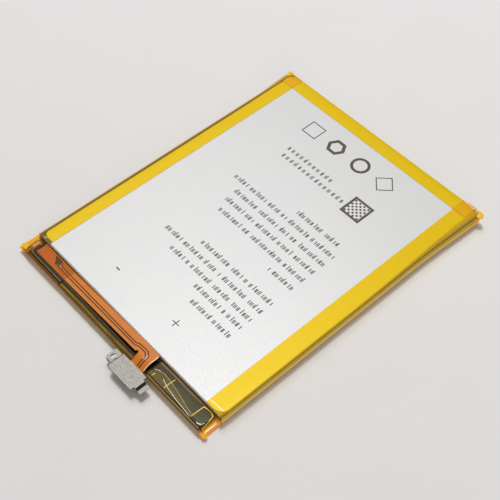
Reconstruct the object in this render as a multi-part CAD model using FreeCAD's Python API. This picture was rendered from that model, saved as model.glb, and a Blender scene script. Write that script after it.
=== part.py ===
# Slim lithium-ion pouch battery of a mobile phone, with its protection board under film at one
# end and a flex circuit that carries the board-to-board connector.
# Millimetres. +X is the pack's width, +Y its length towards the end without terminals and +Z up.
# The origin is the centre of the pouch's flat back face. The film laps lie just below it.

import FreeCAD
import Part
import math
import os

# Films and laminate
FILM = 0.06                 # polyimide film tape with its adhesive
LAMINATE = 0.15             # aluminium laminate of the pouch
TWICE_SEALED = 0.30         # two laminates sealed together
SEAL_EDGE_RADIUS = 0.10     # rounded top of a folded side seal
SEAL_FOLD_RADIUS = 0.28     # where a side seal folds up from the back

# Whole pack, taped
PACK_WIDTH = 58.0
PACK_LENGTH = 78.0

# Formed cup of the pouch
CUP_HEIGHT = 3.06
CUP_CORNER_RADIUS = 2.0
CUP_EDGE_RADIUS = 0.20
SEAL_GAP = 0.35             # from the folded side seal's top edge to the turn of the side tape
NEAR_ROOM = 4.65            # from the cup's near wall to the outside of the near film

# Label on the face
LABEL_THICKNESS = 0.08
LABEL_SIDE_MARGIN = 0.62    # from the label's edge to the outside of the pack
LABEL_FAR_MARGIN = 0.45
LABEL_NEAR_MARGIN = 0.195   # from the label's edge to the cup's near wall
LABEL_CORNER_RADIUS = 1.2

# Film tapes: how far each reaches over the face from the outside of the pack
LEFT_REACH = 3.875
RIGHT_REACH = 4.125
FAR_REACH = 3.595
SHOULDER_SLACK = 0.05       # room for the cup's rounded edge where a side tape turns over it
TERRACE_BACK_LAP = 0.85     # under the back, past the cup's near wall
TERRACE_RISER = 0.75        # part of the terrace film stuck to the cup's near wall
FILM_CORNER_RADIUS = 0.25
ANCHOR_REACH = 12.7         # length of the short tape that holds the flex, along the near end
NEAR_LEAN = 1.05            # how far the near film leans in under the board, down to the back
LEAN_TOP = 1.70             # the near film stands upright above this level

# Pinched film that stands out at the corners: length, root, and the tip's two corners
# measured along the root from the pack's end
FAR_TAIL = (1.15, 1.70, -0.35, 0.80)
NEAR_LEFT_TAIL = (1.40, 4.30, 0.25, 3.80)
NEAR_RIGHT_TAIL = (0.60, 1.60, 0.30, 0.90)
NEAR_TAIL_INSET = 0.55      # from the near film to a near tail's root
TAIL_HEIGHT = 0.9           # above the back face
TAIL_TIP_RADII = (0.35, 0.2)

# Sealed terrace and what lies on it
TERRACE_SETBACK = 1.55      # from the outside of the near film to the terrace's edge
STRIP_THICKNESS = 0.10      # insulating paper strip on the terrace
STRIP_MARGIN = 0.35
BOARD_LEFT_GAP = 2.34       # from the film's inside at the left to the board's end
BOARD_RIGHT_GAP = 1.14
BOARD_WIDTH = 3.45
BOARD_THICKNESS = 0.60
BOARD_TOP = 1.98            # above the back face
BOARD_GAP = 0.48            # from the board's inner edge to the cup's near wall
BOARD_CORNER_RADIUS = 0.3

# Tabs of the cell, folded back under the board
TAB_WIDTH = 4.0
TAB_THICKNESS = 0.10
TAB_SHARE = 0.515           # the tabs' spacing as a share of the board's length
TAB_LEVEL = 0.15            # middle of the tab where it leaves the seal
TAB_STRAIGHT = 0.15
TAB_LEAF = 2.3              # flat part welded to its pad
TAB_FILM_WIDTH = 7.0
TAB_FILM_THICKNESS = 0.07
PAD_LENGTH = 4.6
PAD_WIDTH = 2.5
PAD_THICKNESS = 0.20
FOAM_LENGTH = 5.0
FOAM_WIDTH = 1.4
FOAM_END_GAP = 1.2

# Parts on the board's lower side: length, width, height
CONTROL_CHIP = (2.0, 1.6, 0.60)
SWITCH_CHIP = (3.2, 2.2, 0.75)
FUSE_CHIP = (1.6, 0.8, 0.50)
SMALL_CHIP = (1.0, 0.5, 0.35)
SMALL_CAPACITOR = (1.0, 0.5, 0.50)
CAP_END = 0.25              # plated end of a chip part
CAP_PROUD = 0.05            # how far the plating stands out past the chip's body
PACKAGE_BEVEL = 0.08
SMALL_ROW = 0.75            # small parts stand in two rows this far from the board's middle

# Places of those parts along the board, as shares of its length from its middle
SWITCHES_AT = (-0.158, -0.074)
CONTROL_AT = 0.059
FUSE_AT = 0.168
THERMISTOR_AT = 0.342
RESISTORS_AT = (0.009, 0.009, 0.108, 0.108)
CAPACITORS_AT = (-0.020, 0.136, 0.136)

# Flex circuit
FLEX_THICKNESS = 0.12
FLEX_WIDTH = 2.74
FLEX_INNER_GAP = 0.10       # from the flex's inner edge to the cup's near wall
FLEX_END_GAP = 0.40         # from the board's left end to the flex's soldered end
FLEX_RIGHT = 11.55          # from the pack's middle
FLEX_CORNER_RADIUS = 0.5
FLEX_ELBOW_LEVEL = 3.12     # underside of the raised end, above the back face
SOLDER_HEIGHT = 0.08
SOLDER_RADIUS = 0.55
SOLDER_START = 1.20         # from the flex's soldered end to the first joint
SOLDER_PITCH = 2.10
SOLDER_COUNT = 3
NECK_WIDTH = 3.58
NECK_SLOPE = 33.0           # degrees
NECK_TOP_RADIUS = 2.00      # inside the roll where the neck turns down
NECK_FOOT_RADIUS = 0.60     # inside the roll where it turns level again
NECK_CLEARANCE = 0.05       # from the foot's roll to the plate's inner edge
NOTCH_RADIUS = 0.36

# Steel connector plate
PLATE_THICKNESS = 0.20
PLATE_LENGTH = 7.03         # without the hook's tab
PLATE_WIDTH = 3.95
PLATE_OVERHANG = 1.43       # plate beyond the flex's neck, at the hook
PLATE_CLEARANCE = 0.10      # from the plate's inner edge to the near film
PLATE_CORNER_RADIUS = 0.15
PLATE_CUT = 0.45            # cut corner beside the lug
LUG_LENGTH = 2.15
LUG_INSET = 0.20            # from the plate's inner edge to the lug's
LUG_WIDTH = 2.75
LUG_DROP = 0.25
LUG_CORNER_RADIUS = 0.38
LUG_BEND = 0.30
LUG_HOLE_RADIUS = 0.68
LUG_HOLE_REACH = 0.93       # from the plate's left edge to the hole's centre
LUG_HOLE_INSET = 1.475      # from the lug's inner edge to the hole's centre
LUG_RIM_DEPTH = 0.95        # turned-down rim round the lug
HOOK_WIDTH = 2.30
HOOK_OFFSET = 0.05          # the hook's middle from the plate's middle
HOOK_TAB = 0.45             # level tab between the plate and the hook's ramp
HOOK_TAB_RADIUS = 0.30      # inside the corners beside the tab
HOOK_RAMP = 0.55
HOOK_DROP = 0.45
HOOK_FOOT = 0.90
HOOK_FOOT_RADIUS = 0.20

# Board-to-board connector under the plate
PLUG_LENGTH = 6.3
PLUG_WIDTH = 2.3
PLUG_HEIGHT = 0.85
PLUG_GROOVE_WIDTH = 0.9
PLUG_GROOVE_DEPTH = 0.45
PLUG_CORNER_RADIUS = 0.15
FLEX_PAD_MARGIN = 0.20      # flex round the connector
CONTACT_WIDTH = 0.20
CONTACT_PITCH = 0.40
CONTACTS_PER_ROW = 5
CONTACT_FOOT = 0.30         # solder foot beside the housing
CONTACT_THICKNESS = 0.10
POWER_CONTACT_WIDTH = 0.90
POWER_CONTACT_SPACING = 4.6

# Places worked out from the sizes above
HALF_WIDTH = PACK_WIDTH / 2
HALF_LENGTH = PACK_LENGTH / 2
POUCH_SIDE = HALF_WIDTH - FILM
CUP_SIDE = POUCH_SIDE - TWICE_SEALED
CUP_NEAR = -HALF_LENGTH + NEAR_ROOM
POUCH_FAR = HALF_LENGTH - FILM
TERRACE_EDGE = -HALF_LENGTH + TERRACE_SETBACK
LABEL_TOP = CUP_HEIGHT + LABEL_THICKNESS
SIDE_SHOULDER = CUP_EDGE_RADIUS + TWICE_SEALED + SHOULDER_SLACK
FAR_SHOULDER = CUP_EDGE_RADIUS
SIDE_TAPE_FAR = HALF_LENGTH - FAR_SHOULDER - 2 * FILM
SEAL_HEIGHT = LABEL_TOP - SIDE_SHOULDER - SEAL_GAP
NEAR_FACE = -HALF_LENGTH
TERRACE_LAP_END = CUP_NEAR + TERRACE_BACK_LAP
STRIP_TOP = TWICE_SEALED + STRIP_THICKNESS
BOARD_BOTTOM = BOARD_TOP - BOARD_THICKNESS
BOARD_INNER = CUP_NEAR - BOARD_GAP
BOARD_MIDDLE = BOARD_INNER - BOARD_WIDTH / 2
BOARD_LEFT = -POUCH_SIDE + BOARD_LEFT_GAP
BOARD_RIGHT = POUCH_SIDE - BOARD_RIGHT_GAP
BOARD_LENGTH = BOARD_RIGHT - BOARD_LEFT
BOARD_CENTRE = (BOARD_LEFT + BOARD_RIGHT) / 2
TAB_PLACE = TAB_SHARE * BOARD_LENGTH / 2
TERRACE_FILM_TOP = BOARD_TOP + FILM
FLEX_LEVEL = BOARD_TOP + SOLDER_HEIGHT
FLEX_LEFT = BOARD_LEFT + FLEX_END_GAP
NECK_LEFT = FLEX_RIGHT - NECK_WIDTH
FLEX_INNER = CUP_NEAR - FLEX_INNER_GAP
FLEX_OUTER = FLEX_INNER - FLEX_WIDTH
ANCHOR_FILM_TOP = FLEX_LEVEL + FLEX_THICKNESS + FILM
ANCHOR_RIGHT = -HALF_WIDTH + ANCHOR_REACH
FLEX_RISE_START = ANCHOR_RIGHT + FILM
PLATE_INNER = NEAR_FACE - PLATE_CLEARANCE
PLATE_OUTER = PLATE_INNER - PLATE_WIDTH
PLATE_RIGHT = FLEX_RIGHT + PLATE_OVERHANG
PLATE_LEFT = PLATE_RIGHT - PLATE_LENGTH
PLATE_MIDDLE = (PLATE_INNER + PLATE_OUTER) / 2
HOOK_ROOT = PLATE_RIGHT + HOOK_TAB
HOOK_MIDDLE = PLATE_MIDDLE + HOOK_OFFSET
FLEX_END_LEVEL = TERRACE_FILM_TOP + SOLDER_HEIGHT
PLATE_BOTTOM = FLEX_END_LEVEL + FLEX_THICKNESS
PLATE_TOP = PLATE_BOTTOM + PLATE_THICKNESS
PLUG_X = (PLATE_LEFT + PLATE_RIGHT) / 2
PLUG_TOP = FLEX_END_LEVEL


def vec(x, y, z):
    return FreeCAD.Vector(x, y, z)


def block(x0, x1, y0, y1, z0, z1):
    """A box between three pairs of places."""
    return Part.makeBox(x1 - x0, y1 - y0, z1 - z0, vec(x0, y0, z0))


def rounded_wire(corners):
    """A closed flat wire through corners given as (point, radius)."""
    edges = []
    ends = []
    count = len(corners)
    for number, (corner, radius) in enumerate(corners):
        if radius <= 0:
            ends.append((corner, corner))
            continue
        before = (corners[number - 1][0] - corner).normalize()
        after = (corners[(number + 1) % count][0] - corner).normalize()
        half_angle = before.getAngle(after) / 2
        back = radius / math.tan(half_angle)
        start = corner + before * back
        end = corner + after * back
        towards = (before + after).normalize()
        middle = corner + towards * (radius / math.sin(half_angle) - radius)
        edges.append(Part.Arc(start, middle, end).toShape())
        ends.append((start, end))
    for number in range(count):
        start = ends[number][1]
        end = ends[(number + 1) % count][0]
        if start.distanceToPoint(end) > 1e-7:
            edges.append(Part.LineSegment(start, end).toShape())
    return Part.Wire(Part.__sortEdges__(edges))


def prism(corners, along):
    """A solid of one flat outline, drawn out along a vector."""
    return Part.Face(rounded_wire(corners)).extrude(along)


def plan_prism(corners, z0, z1):
    """A solid with an outline of (x, y, radius) between two levels."""
    points = [(vec(x, y, z0), radius) for x, y, radius in corners]
    return prism(points, vec(0, 0, z1 - z0))


def vertical_edges(shape):
    """Edges of a shape that run along Z."""
    found = []
    for edge in shape.Edges:
        ends = [vertex.Point for vertex in edge.Vertexes]
        if len(ends) == 2 and abs(ends[0].x - ends[1].x) < 1e-6 and abs(ends[0].y - ends[1].y) < 1e-6:
            found.append(edge)
    return found


def edges_at_level(shape, level):
    """Edges of a shape that lie at one level."""
    found = []
    for edge in shape.Edges:
        if all(abs(vertex.Point.z - level) < 1e-6 for vertex in edge.Vertexes):
            found.append(edge)
    return found


def long_edges(shape, x, level):
    """Edges of a shape that run along Y at one x and one level."""
    found = []
    for edge in edges_at_level(shape, level):
        if all(abs(vertex.Point.x - x) < 1e-6 for vertex in edge.Vertexes):
            found.append(edge)
    return found


def one(shape):
    """The shape with its split faces joined again."""
    return shape.removeSplitter()


def pouch_cell():
    """Sealed pouch: formed cup, flat back sheet, terrace and folded side seals."""
    cup = block(-CUP_SIDE, CUP_SIDE, CUP_NEAR, POUCH_FAR, 0, CUP_HEIGHT)
    cup = cup.makeFillet(CUP_CORNER_RADIUS, vertical_edges(cup))
    cup = cup.makeFillet(CUP_EDGE_RADIUS, edges_at_level(cup, CUP_HEIGHT))
    back_sheet = block(-CUP_SIDE, CUP_SIDE, CUP_NEAR - LAMINATE, POUCH_FAR - CUP_CORNER_RADIUS, 0, LAMINATE)
    terrace = block(-CUP_SIDE, CUP_SIDE, TERRACE_EDGE, CUP_NEAR + CUP_CORNER_RADIUS, 0, TWICE_SEALED)
    pouch = cup.fuse([back_sheet, terrace])
    for side in (-1, 1):
        seal = block(CUP_SIDE, POUCH_SIDE, CUP_NEAR + CUP_CORNER_RADIUS / 2,
                     POUCH_FAR - CUP_CORNER_RADIUS, 0, SEAL_HEIGHT)
        seal = seal.makeFillet(SEAL_EDGE_RADIUS, edges_at_level(seal, SEAL_HEIGHT))
        seal = seal.makeFillet(SEAL_FOLD_RADIUS, long_edges(seal, POUCH_SIDE, 0))
        if side < 0:
            seal = seal.mirror(vec(0, 0, 0), vec(1, 0, 0))
        pouch = pouch.fuse(seal)
    return one(pouch)


def face_label():
    """White label on the cup's face, under the edges of the film tapes."""
    side = HALF_WIDTH - LABEL_SIDE_MARGIN
    near = CUP_NEAR + LABEL_NEAR_MARGIN
    far = HALF_LENGTH - LABEL_FAR_MARGIN
    radius = LABEL_CORNER_RADIUS
    outline = [(-side, near, radius), (side, near, radius), (side, far, radius), (-side, far, radius)]
    return plan_prism(outline, CUP_HEIGHT, LABEL_TOP)


def lap_outline(reach, wall, top, shoulder, fold=0):
    """Corners of a wrapped edge in (across, up): back lap, wall, rounded shoulder and face lap."""
    return [(wall - reach, -top[0], 0), (wall, -top[0], fold), (wall, top[1], shoulder),
            (wall - reach, top[1], 0)]


def wrapped_tape(reach, wall, face_level, shoulder, start, end, fold=0):
    """A film wrapped round an edge at +X, from y start to y end, lapping the back and the face."""
    outer_fold = fold + FILM if fold else 0
    outer = lap_outline(reach, wall, (FILM, face_level + FILM), shoulder + FILM, outer_fold)
    inner = lap_outline(reach - FILM, wall - FILM, (0, face_level), shoulder, fold)
    solids = []
    for outline in (outer, inner):
        points = [(vec(across, start, up), radius) for across, up, radius in outline]
        solids.append(prism(points, vec(0, end - start, 0)))
    return solids[0].cut(solids[1])


def side_tape(reach, side):
    """Film along one long side, from the cup's near wall to the start of the far shoulder."""
    tape = wrapped_tape(reach, HALF_WIDTH, LABEL_TOP, SIDE_SHOULDER, CUP_NEAR, SIDE_TAPE_FAR,
                        SEAL_FOLD_RADIUS)
    if side < 0:
        tape = tape.mirror(vec(0, 0, 0), vec(1, 0, 0))
    return tape


def tail(sizes, x, y, turn):
    """A pinched two-layer tail of film at one corner, pointing along +X before it is turned."""
    length, root, tip_start, tip_end = sizes
    outline = [(0, 0, 0), (length, tip_start, TAIL_TIP_RADII[0]),
               (length, tip_end, TAIL_TIP_RADII[1]), (0, root, 0)]
    flap = plan_prism(outline, TAIL_HEIGHT, TAIL_HEIGHT + 2 * FILM)
    if turn < 0:
        flap = flap.mirror(vec(0, 0, 0), vec(0, 1, 0))
    if x < 0:
        flap = flap.mirror(vec(0, 0, 0), vec(1, 0, 0))
    flap.translate(vec(x, y, 0))
    return flap


def far_end_tape():
    """Film over the far end, lying on the ends of the side tapes, with its ends pinched shut."""
    face_level = LABEL_TOP + FILM
    band = wrapped_tape(FAR_REACH, HALF_LENGTH, face_level, FAR_SHOULDER, -HALF_WIDTH, HALF_WIDTH)
    near = HALF_LENGTH - FAR_REACH
    right_lap = block(near, SIDE_TAPE_FAR, -HALF_WIDTH, -HALF_WIDTH + RIGHT_REACH, -FILM, 0)
    left_lap = block(near, SIDE_TAPE_FAR, HALF_WIDTH - LEFT_REACH, HALF_WIDTH, -FILM, 0)
    outline = lap_outline(FAR_SHOULDER + 2 * FILM, HALF_LENGTH, (FILM, face_level + FILM),
                          FAR_SHOULDER + FILM)
    caps = []
    for start in (-HALF_WIDTH, HALF_WIDTH - FILM):
        points = [(vec(across, start, up), radius) for across, up, radius in outline]
        caps.append(prism(points, vec(0, FILM, 0)))
    band = band.cut([right_lap, left_lap]).fuse(caps)
    band.rotate(vec(0, 0, 0), vec(0, 0, 1), 90)
    tails = [tail(FAR_TAIL, side, HALF_LENGTH, -1) for side in (-HALF_WIDTH, HALF_WIDTH)]
    return one(band.fuse(tails))


def near_wrap(x0, x1, top, capped_side):
    """Film folded round the terrace, from the cup's wall over the board and under the back."""
    inside = NEAR_FACE + FILM
    outer = [(TERRACE_LAP_END, -FILM, 0), (NEAR_FACE + NEAR_LEAN, -FILM, 0), (NEAR_FACE, LEAN_TOP, 0),
             (NEAR_FACE, top, FILM_CORNER_RADIUS), (CUP_NEAR, top, 0), (CUP_NEAR, 0, 0),
             (TERRACE_LAP_END, 0, 0)]
    inner = [(inside + NEAR_LEAN, 0, 0), (inside, LEAN_TOP, 0),
             (inside, top - FILM, FILM_CORNER_RADIUS - FILM), (CUP_NEAR, top - FILM, 0), (CUP_NEAR, 0, 0)]
    solids = []
    for outline in (outer, inner):
        points = [(vec(x0, y, z), radius) for y, z, radius in outline]
        solids.append(prism(points, vec(x1 - x0, 0, 0)))
    wrap = solids[0].cut(solids[1])
    riser = block(x0, x1, CUP_NEAR - FILM, CUP_NEAR, top - FILM, top + TERRACE_RISER)
    cap_start = x1 - FILM if capped_side > 0 else x0
    points = [(vec(cap_start, y, z), radius) for y, z, radius in inner]
    cap = prism(points, vec(FILM, 0, 0))
    side_lap = block(-HALF_WIDTH, -HALF_WIDTH + LEFT_REACH, CUP_NEAR, TERRACE_LAP_END,
                     -FILM, 0)
    other_lap = block(HALF_WIDTH - RIGHT_REACH, HALF_WIDTH, CUP_NEAR, TERRACE_LAP_END,
                      -FILM, 0)
    return wrap.fuse([riser, cap]).cut([side_lap, other_lap])


def terrace_tape():
    """Film over the protection board."""
    wrap = near_wrap(ANCHOR_RIGHT + FILM, HALF_WIDTH, TERRACE_FILM_TOP, 1)
    return one(wrap.fuse(tail(NEAR_RIGHT_TAIL, HALF_WIDTH, NEAR_FACE + NEAR_TAIL_INSET, 1)))


def flex_anchor_tape():
    """Short film over the soldered end of the flex circuit."""
    wrap = near_wrap(-HALF_WIDTH, ANCHOR_RIGHT, ANCHOR_FILM_TOP, -1)
    return one(wrap.fuse(tail(NEAR_LEFT_TAIL, -HALF_WIDTH, NEAR_FACE + NEAR_TAIL_INSET, 1)))


def cell_tab(middle):
    """A tab that leaves the seal, turns back over itself and lies flat against its pad."""
    leaf_level = BOARD_BOTTOM - PAD_THICKNESS - TAB_THICKNESS / 2
    turn = (leaf_level - TAB_LEVEL) / 2
    bend = TERRACE_EDGE - TAB_STRAIGHT
    half = TAB_THICKNESS / 2
    centre = TAB_LEVEL + turn
    x0 = middle - TAB_WIDTH / 2
    faces = []
    for radius in (turn + half, turn - half):
        low = vec(x0, bend, centre - radius)
        side = vec(x0, bend - radius, centre)
        high = vec(x0, bend, centre + radius)
        wire = Part.Wire([Part.Arc(low, side, high).toShape(), Part.LineSegment(high, low).toShape()])
        faces.append(Part.Face(wire))
    turned = faces[0].cut(faces[1]).extrude(vec(TAB_WIDTH, 0, 0))
    root = block(x0, x0 + TAB_WIDTH, bend, TERRACE_EDGE, TAB_LEVEL - half, TAB_LEVEL + half)
    leaf = block(x0, x0 + TAB_WIDTH, bend, bend + TAB_LEAF, leaf_level - half, leaf_level + half)
    return one(turned.fuse([root, leaf]))


def tab_film(middle, tab):
    """Sealing film that shows round a tab where it leaves the seal."""
    reach = TAB_THICKNESS / 2 + TAB_FILM_THICKNESS
    film = block(middle - TAB_FILM_WIDTH / 2, middle + TAB_FILM_WIDTH / 2,
                 TERRACE_EDGE - TAB_STRAIGHT, TERRACE_EDGE, TAB_LEVEL - reach, TAB_LEVEL + reach)
    return film.cut(tab)


def insulating_strip():
    """Paper strip between the terrace and the board."""
    return block(-CUP_SIDE + STRIP_MARGIN, CUP_SIDE - STRIP_MARGIN, TERRACE_EDGE + STRIP_MARGIN / 2,
                 CUP_NEAR - STRIP_MARGIN, TWICE_SEALED, STRIP_TOP)


def protection_board():
    """Bare circuit board, parts side down."""
    outer = BOARD_INNER - BOARD_WIDTH
    radius = BOARD_CORNER_RADIUS
    outline = [(BOARD_LEFT, outer, radius), (BOARD_RIGHT, outer, radius),
               (BOARD_RIGHT, BOARD_INNER, radius), (BOARD_LEFT, BOARD_INNER, radius)]
    return plan_prism(outline, BOARD_BOTTOM, BOARD_TOP)


def along_board(share):
    """The x of a place given as a share of the board's length from its middle."""
    return BOARD_CENTRE + share * BOARD_LENGTH


def under_board(size, x, row=0.0):
    """A part of the given size soldered under the board."""
    length, width, height = size
    y = BOARD_MIDDLE + row
    return block(x - length / 2, x + length / 2, y - width / 2, y + width / 2,
                 BOARD_BOTTOM - height, BOARD_BOTTOM)


def chip_part(size, x, row):
    """A chip part with plated ends that stand a little proud of its body."""
    length, width, height = size
    body = under_board((length, width - 2 * CAP_PROUD, height - CAP_PROUD), x, row)
    ends = []
    for side in (-1, 1):
        ends.append(under_board((CAP_END, width, height), x + side * (length - CAP_END) / 2, row))
    return one(body.fuse(ends))


def packaged_chip(size, x):
    """A moulded package with a bevelled lower rim."""
    body = under_board(size, x)
    return body.makeChamfer(PACKAGE_BEVEL, edges_at_level(body, BOARD_BOTTOM - size[2]))


def rows_of(size, places):
    """Small chip parts in two rows, as one group of separate solids."""
    parts = []
    for number, place in enumerate(places):
        row = SMALL_ROW if number % 2 else -SMALL_ROW
        parts.append(chip_part(size, along_board(place), row))
    return Part.makeCompound(parts)


def tab_pads():
    """Nickel weld pads soldered under the board, one for each tab."""
    size = (PAD_LENGTH, PAD_WIDTH, PAD_THICKNESS)
    return Part.makeCompound([under_board(size, side * TAB_PLACE) for side in (-1, 1)])


def foam_pads():
    """Foam strips that carry the two ends of the board on the terrace."""
    size = (FOAM_LENGTH, FOAM_WIDTH, BOARD_BOTTOM - STRIP_TOP)
    reach = BOARD_LENGTH / 2 - FOAM_END_GAP - FOAM_LENGTH / 2
    return Part.makeCompound([under_board(size, BOARD_CENTRE + side * reach) for side in (-1, 1)])


def solder_joints():
    """Solder between the flex circuit's end and the board."""
    joints = []
    for number in range(SOLDER_COUNT):
        x = FLEX_LEFT + SOLDER_START + number * SOLDER_PITCH
        middle = vec(x, (FLEX_INNER + FLEX_OUTER) / 2, BOARD_TOP)
        joints.append(Part.makeCylinder(SOLDER_RADIUS, SOLDER_HEIGHT, middle))
    return Part.makeCompound(joints)


def bent_sheet(path, thickness, along, rolls=None):
    """A sheet whose underside follows a path of points, drawn out along a vector.

    The rolls give the radius inside each bend along the path, and without them the bends are sharp."""
    inside = [0, *(rolls or [0] * (len(path) - 2)), 0]
    under = []
    over = []
    for number, point in enumerate(path):
        radius = inside[number]
        outside = radius + thickness if radius else 0
        crowned = radius and point.z >= path[number - 1].z
        under.append((point, radius if crowned else outside))
        over.append((point + vec(0, 0, thickness), outside if crowned else radius))
    return prism(under + over[::-1], along)


def flex_circuit():
    """L-shaped flex: soldered end, strip that rises to the elbow, notch, rolled neck and end pad."""
    strip_path = [vec(FLEX_LEFT, FLEX_OUTER, FLEX_LEVEL),
                  vec(FLEX_RISE_START, FLEX_OUTER, FLEX_LEVEL),
                  vec(NECK_LEFT, FLEX_OUTER, FLEX_ELBOW_LEVEL),
                  vec(FLEX_RIGHT, FLEX_OUTER, FLEX_ELBOW_LEVEL)]
    strip = bent_sheet(strip_path, FLEX_THICKNESS, vec(0, FLEX_WIDTH, 0))
    slope = math.radians(NECK_SLOPE)
    run = (FLEX_ELBOW_LEVEL - FLEX_END_LEVEL) / math.tan(slope)
    top_roll = (NECK_TOP_RADIUS + FLEX_THICKNESS) * math.tan(slope / 2)
    foot_roll = (NECK_FOOT_RADIUS + FLEX_THICKNESS) * math.tan(slope / 2)
    foot = PLATE_INNER + NECK_CLEARANCE + foot_roll
    bend = foot + run
    neck_start = bend + 2 * top_roll
    outline = [(FLEX_LEFT, FLEX_INNER, 0), (FLEX_LEFT, FLEX_OUTER, 0), (NECK_LEFT, FLEX_OUTER, 0),
               (NECK_LEFT, neck_start, 0), (FLEX_RIGHT, neck_start, 0),
               (FLEX_RIGHT, FLEX_INNER, FLEX_CORNER_RADIUS)]
    top = FLEX_ELBOW_LEVEL + FLEX_THICKNESS
    strip = strip.common(plan_prism(outline, FLEX_LEVEL, top))
    notch = Part.makeCylinder(NOTCH_RADIUS, top, vec(NECK_LEFT - NOTCH_RADIUS, FLEX_OUTER, 0))
    strip = strip.cut(notch)
    pad_end = PLATE_MIDDLE - PLUG_WIDTH / 2 - CONTACT_FOOT - FLEX_PAD_MARGIN
    neck_path = [vec(NECK_LEFT, neck_start, FLEX_ELBOW_LEVEL), vec(NECK_LEFT, bend, FLEX_ELBOW_LEVEL),
                 vec(NECK_LEFT, foot, FLEX_END_LEVEL), vec(NECK_LEFT, pad_end, FLEX_END_LEVEL)]
    neck = bent_sheet(neck_path, FLEX_THICKNESS, vec(NECK_WIDTH, 0, 0), (NECK_TOP_RADIUS, NECK_FOOT_RADIUS))
    pad_reach = PLUG_LENGTH / 2 + FLEX_PAD_MARGIN
    pad = block(PLUG_X - pad_reach, PLUG_X + pad_reach, pad_end, PLATE_INNER - FLEX_PAD_MARGIN,
                FLEX_END_LEVEL, FLEX_END_LEVEL + FLEX_THICKNESS)
    return one(strip.fuse([neck, pad]))


def plate_body():
    """Flat middle of the connector plate, with a cut corner beside the lug and a tab for the hook."""
    tab_inner = HOOK_MIDDLE + HOOK_WIDTH / 2
    tab_outer = HOOK_MIDDLE - HOOK_WIDTH / 2
    outline = [(PLATE_LEFT, PLATE_INNER, 0), (PLATE_RIGHT, PLATE_INNER, PLATE_CORNER_RADIUS),
               (PLATE_RIGHT, tab_inner, HOOK_TAB_RADIUS), (HOOK_ROOT, tab_inner, 0),
               (HOOK_ROOT, tab_outer, 0), (PLATE_RIGHT, tab_outer, HOOK_TAB_RADIUS),
               (PLATE_RIGHT, PLATE_OUTER, PLATE_CORNER_RADIUS), (PLATE_LEFT + PLATE_CUT, PLATE_OUTER, 0),
               (PLATE_LEFT, PLATE_OUTER + PLATE_CUT, 0)]
    return plan_prism(outline, PLATE_BOTTOM, PLATE_TOP)


def plate_lug():
    """Screw lug, one bend lower than the plate, with a turned-down rim and a round hole."""
    inner = PLATE_INNER - LUG_INSET
    outer = inner - LUG_WIDTH
    flat = PLATE_LEFT - LUG_BEND
    end = PLATE_LEFT - LUG_LENGTH
    low = PLATE_BOTTOM - LUG_DROP
    step_path = [vec(flat, outer, low), vec(PLATE_LEFT, outer, PLATE_BOTTOM)]
    step = bent_sheet(step_path, PLATE_THICKNESS, vec(0, LUG_WIDTH, 0))
    radius = LUG_CORNER_RADIUS
    outline = [(flat, inner, 0), (end, inner, radius), (end, outer, radius), (flat, outer, 0)]
    tongue = plan_prism(outline, low, low + PLATE_THICKNESS)
    wall = PLATE_THICKNESS
    bounds = plan_prism(outline, low - LUG_RIM_DEPTH, low)
    inside = [(flat, inner + wall, 0), (end + wall, inner + wall, radius - wall),
              (end + wall, outer + wall, radius - wall), (flat, outer + wall, 0)]
    rim = bounds.cut(plan_prism(inside, low - LUG_RIM_DEPTH, low))
    rim = rim.cut(block(end - wall, flat, inner - radius, inner + wall, low - LUG_RIM_DEPTH, low))
    centre = vec(PLATE_LEFT - LUG_HOLE_REACH, inner - LUG_HOLE_INSET, low)
    hole = Part.makeCylinder(LUG_HOLE_RADIUS, PLATE_THICKNESS, centre)
    return tongue.cut(hole).fuse([step, rim])


def plate_hook():
    """Hook at the other end: a ramp down and a short flat foot with rounded corners."""
    start = HOOK_MIDDLE - HOOK_WIDTH / 2
    low = PLATE_BOTTOM - HOOK_DROP
    end = HOOK_ROOT + HOOK_RAMP + HOOK_FOOT
    path = [vec(HOOK_ROOT, start, PLATE_BOTTOM), vec(HOOK_ROOT + HOOK_RAMP, start, low), vec(end, start, low)]
    hook = bent_sheet(path, PLATE_THICKNESS, vec(0, HOOK_WIDTH, 0))
    corners = [edge for edge in vertical_edges(hook) if abs(edge.Vertexes[0].X - end) < 1e-6]
    return hook.makeFillet(HOOK_FOOT_RADIUS, corners)


def connector_plate():
    """Pressed steel plate that backs the connector and holds it down in the phone."""
    return one(plate_body().fuse([plate_lug(), plate_hook()]))


def contact(x, side, width, depth):
    """A contact: a solder foot under the flex and a leg down the housing's outer wall."""
    wall = PLATE_MIDDLE + side * PLUG_WIDTH / 2
    foot_end = wall + side * CONTACT_FOOT
    y0, y1 = sorted((wall, foot_end))
    foot = block(x - width / 2, x + width / 2, y0, y1, PLUG_TOP - CONTACT_THICKNESS, PLUG_TOP)
    leg_end = wall + side * CONTACT_THICKNESS
    y0, y1 = sorted((wall, leg_end))
    leg = block(x - width / 2, x + width / 2, y0, y1, PLUG_TOP - depth, PLUG_TOP)
    return one(foot.fuse(leg))


def signal_contacts():
    """Two rows of fine contacts."""
    parts = []
    for side in (-1, 1):
        for number in range(CONTACTS_PER_ROW):
            x = PLUG_X + (number - (CONTACTS_PER_ROW - 1) / 2) * CONTACT_PITCH
            parts.append(contact(x, side, CONTACT_WIDTH, PLUG_HEIGHT - CONTACT_THICKNESS))
    return Part.makeCompound(parts)


def power_contacts():
    """Wide contacts at both ends of each row."""
    parts = []
    for side in (-1, 1):
        for end in (-1, 1):
            x = PLUG_X + end * POWER_CONTACT_SPACING / 2
            parts.append(contact(x, side, POWER_CONTACT_WIDTH, PLUG_HEIGHT - CONTACT_THICKNESS))
    return Part.makeCompound(parts)


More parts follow.
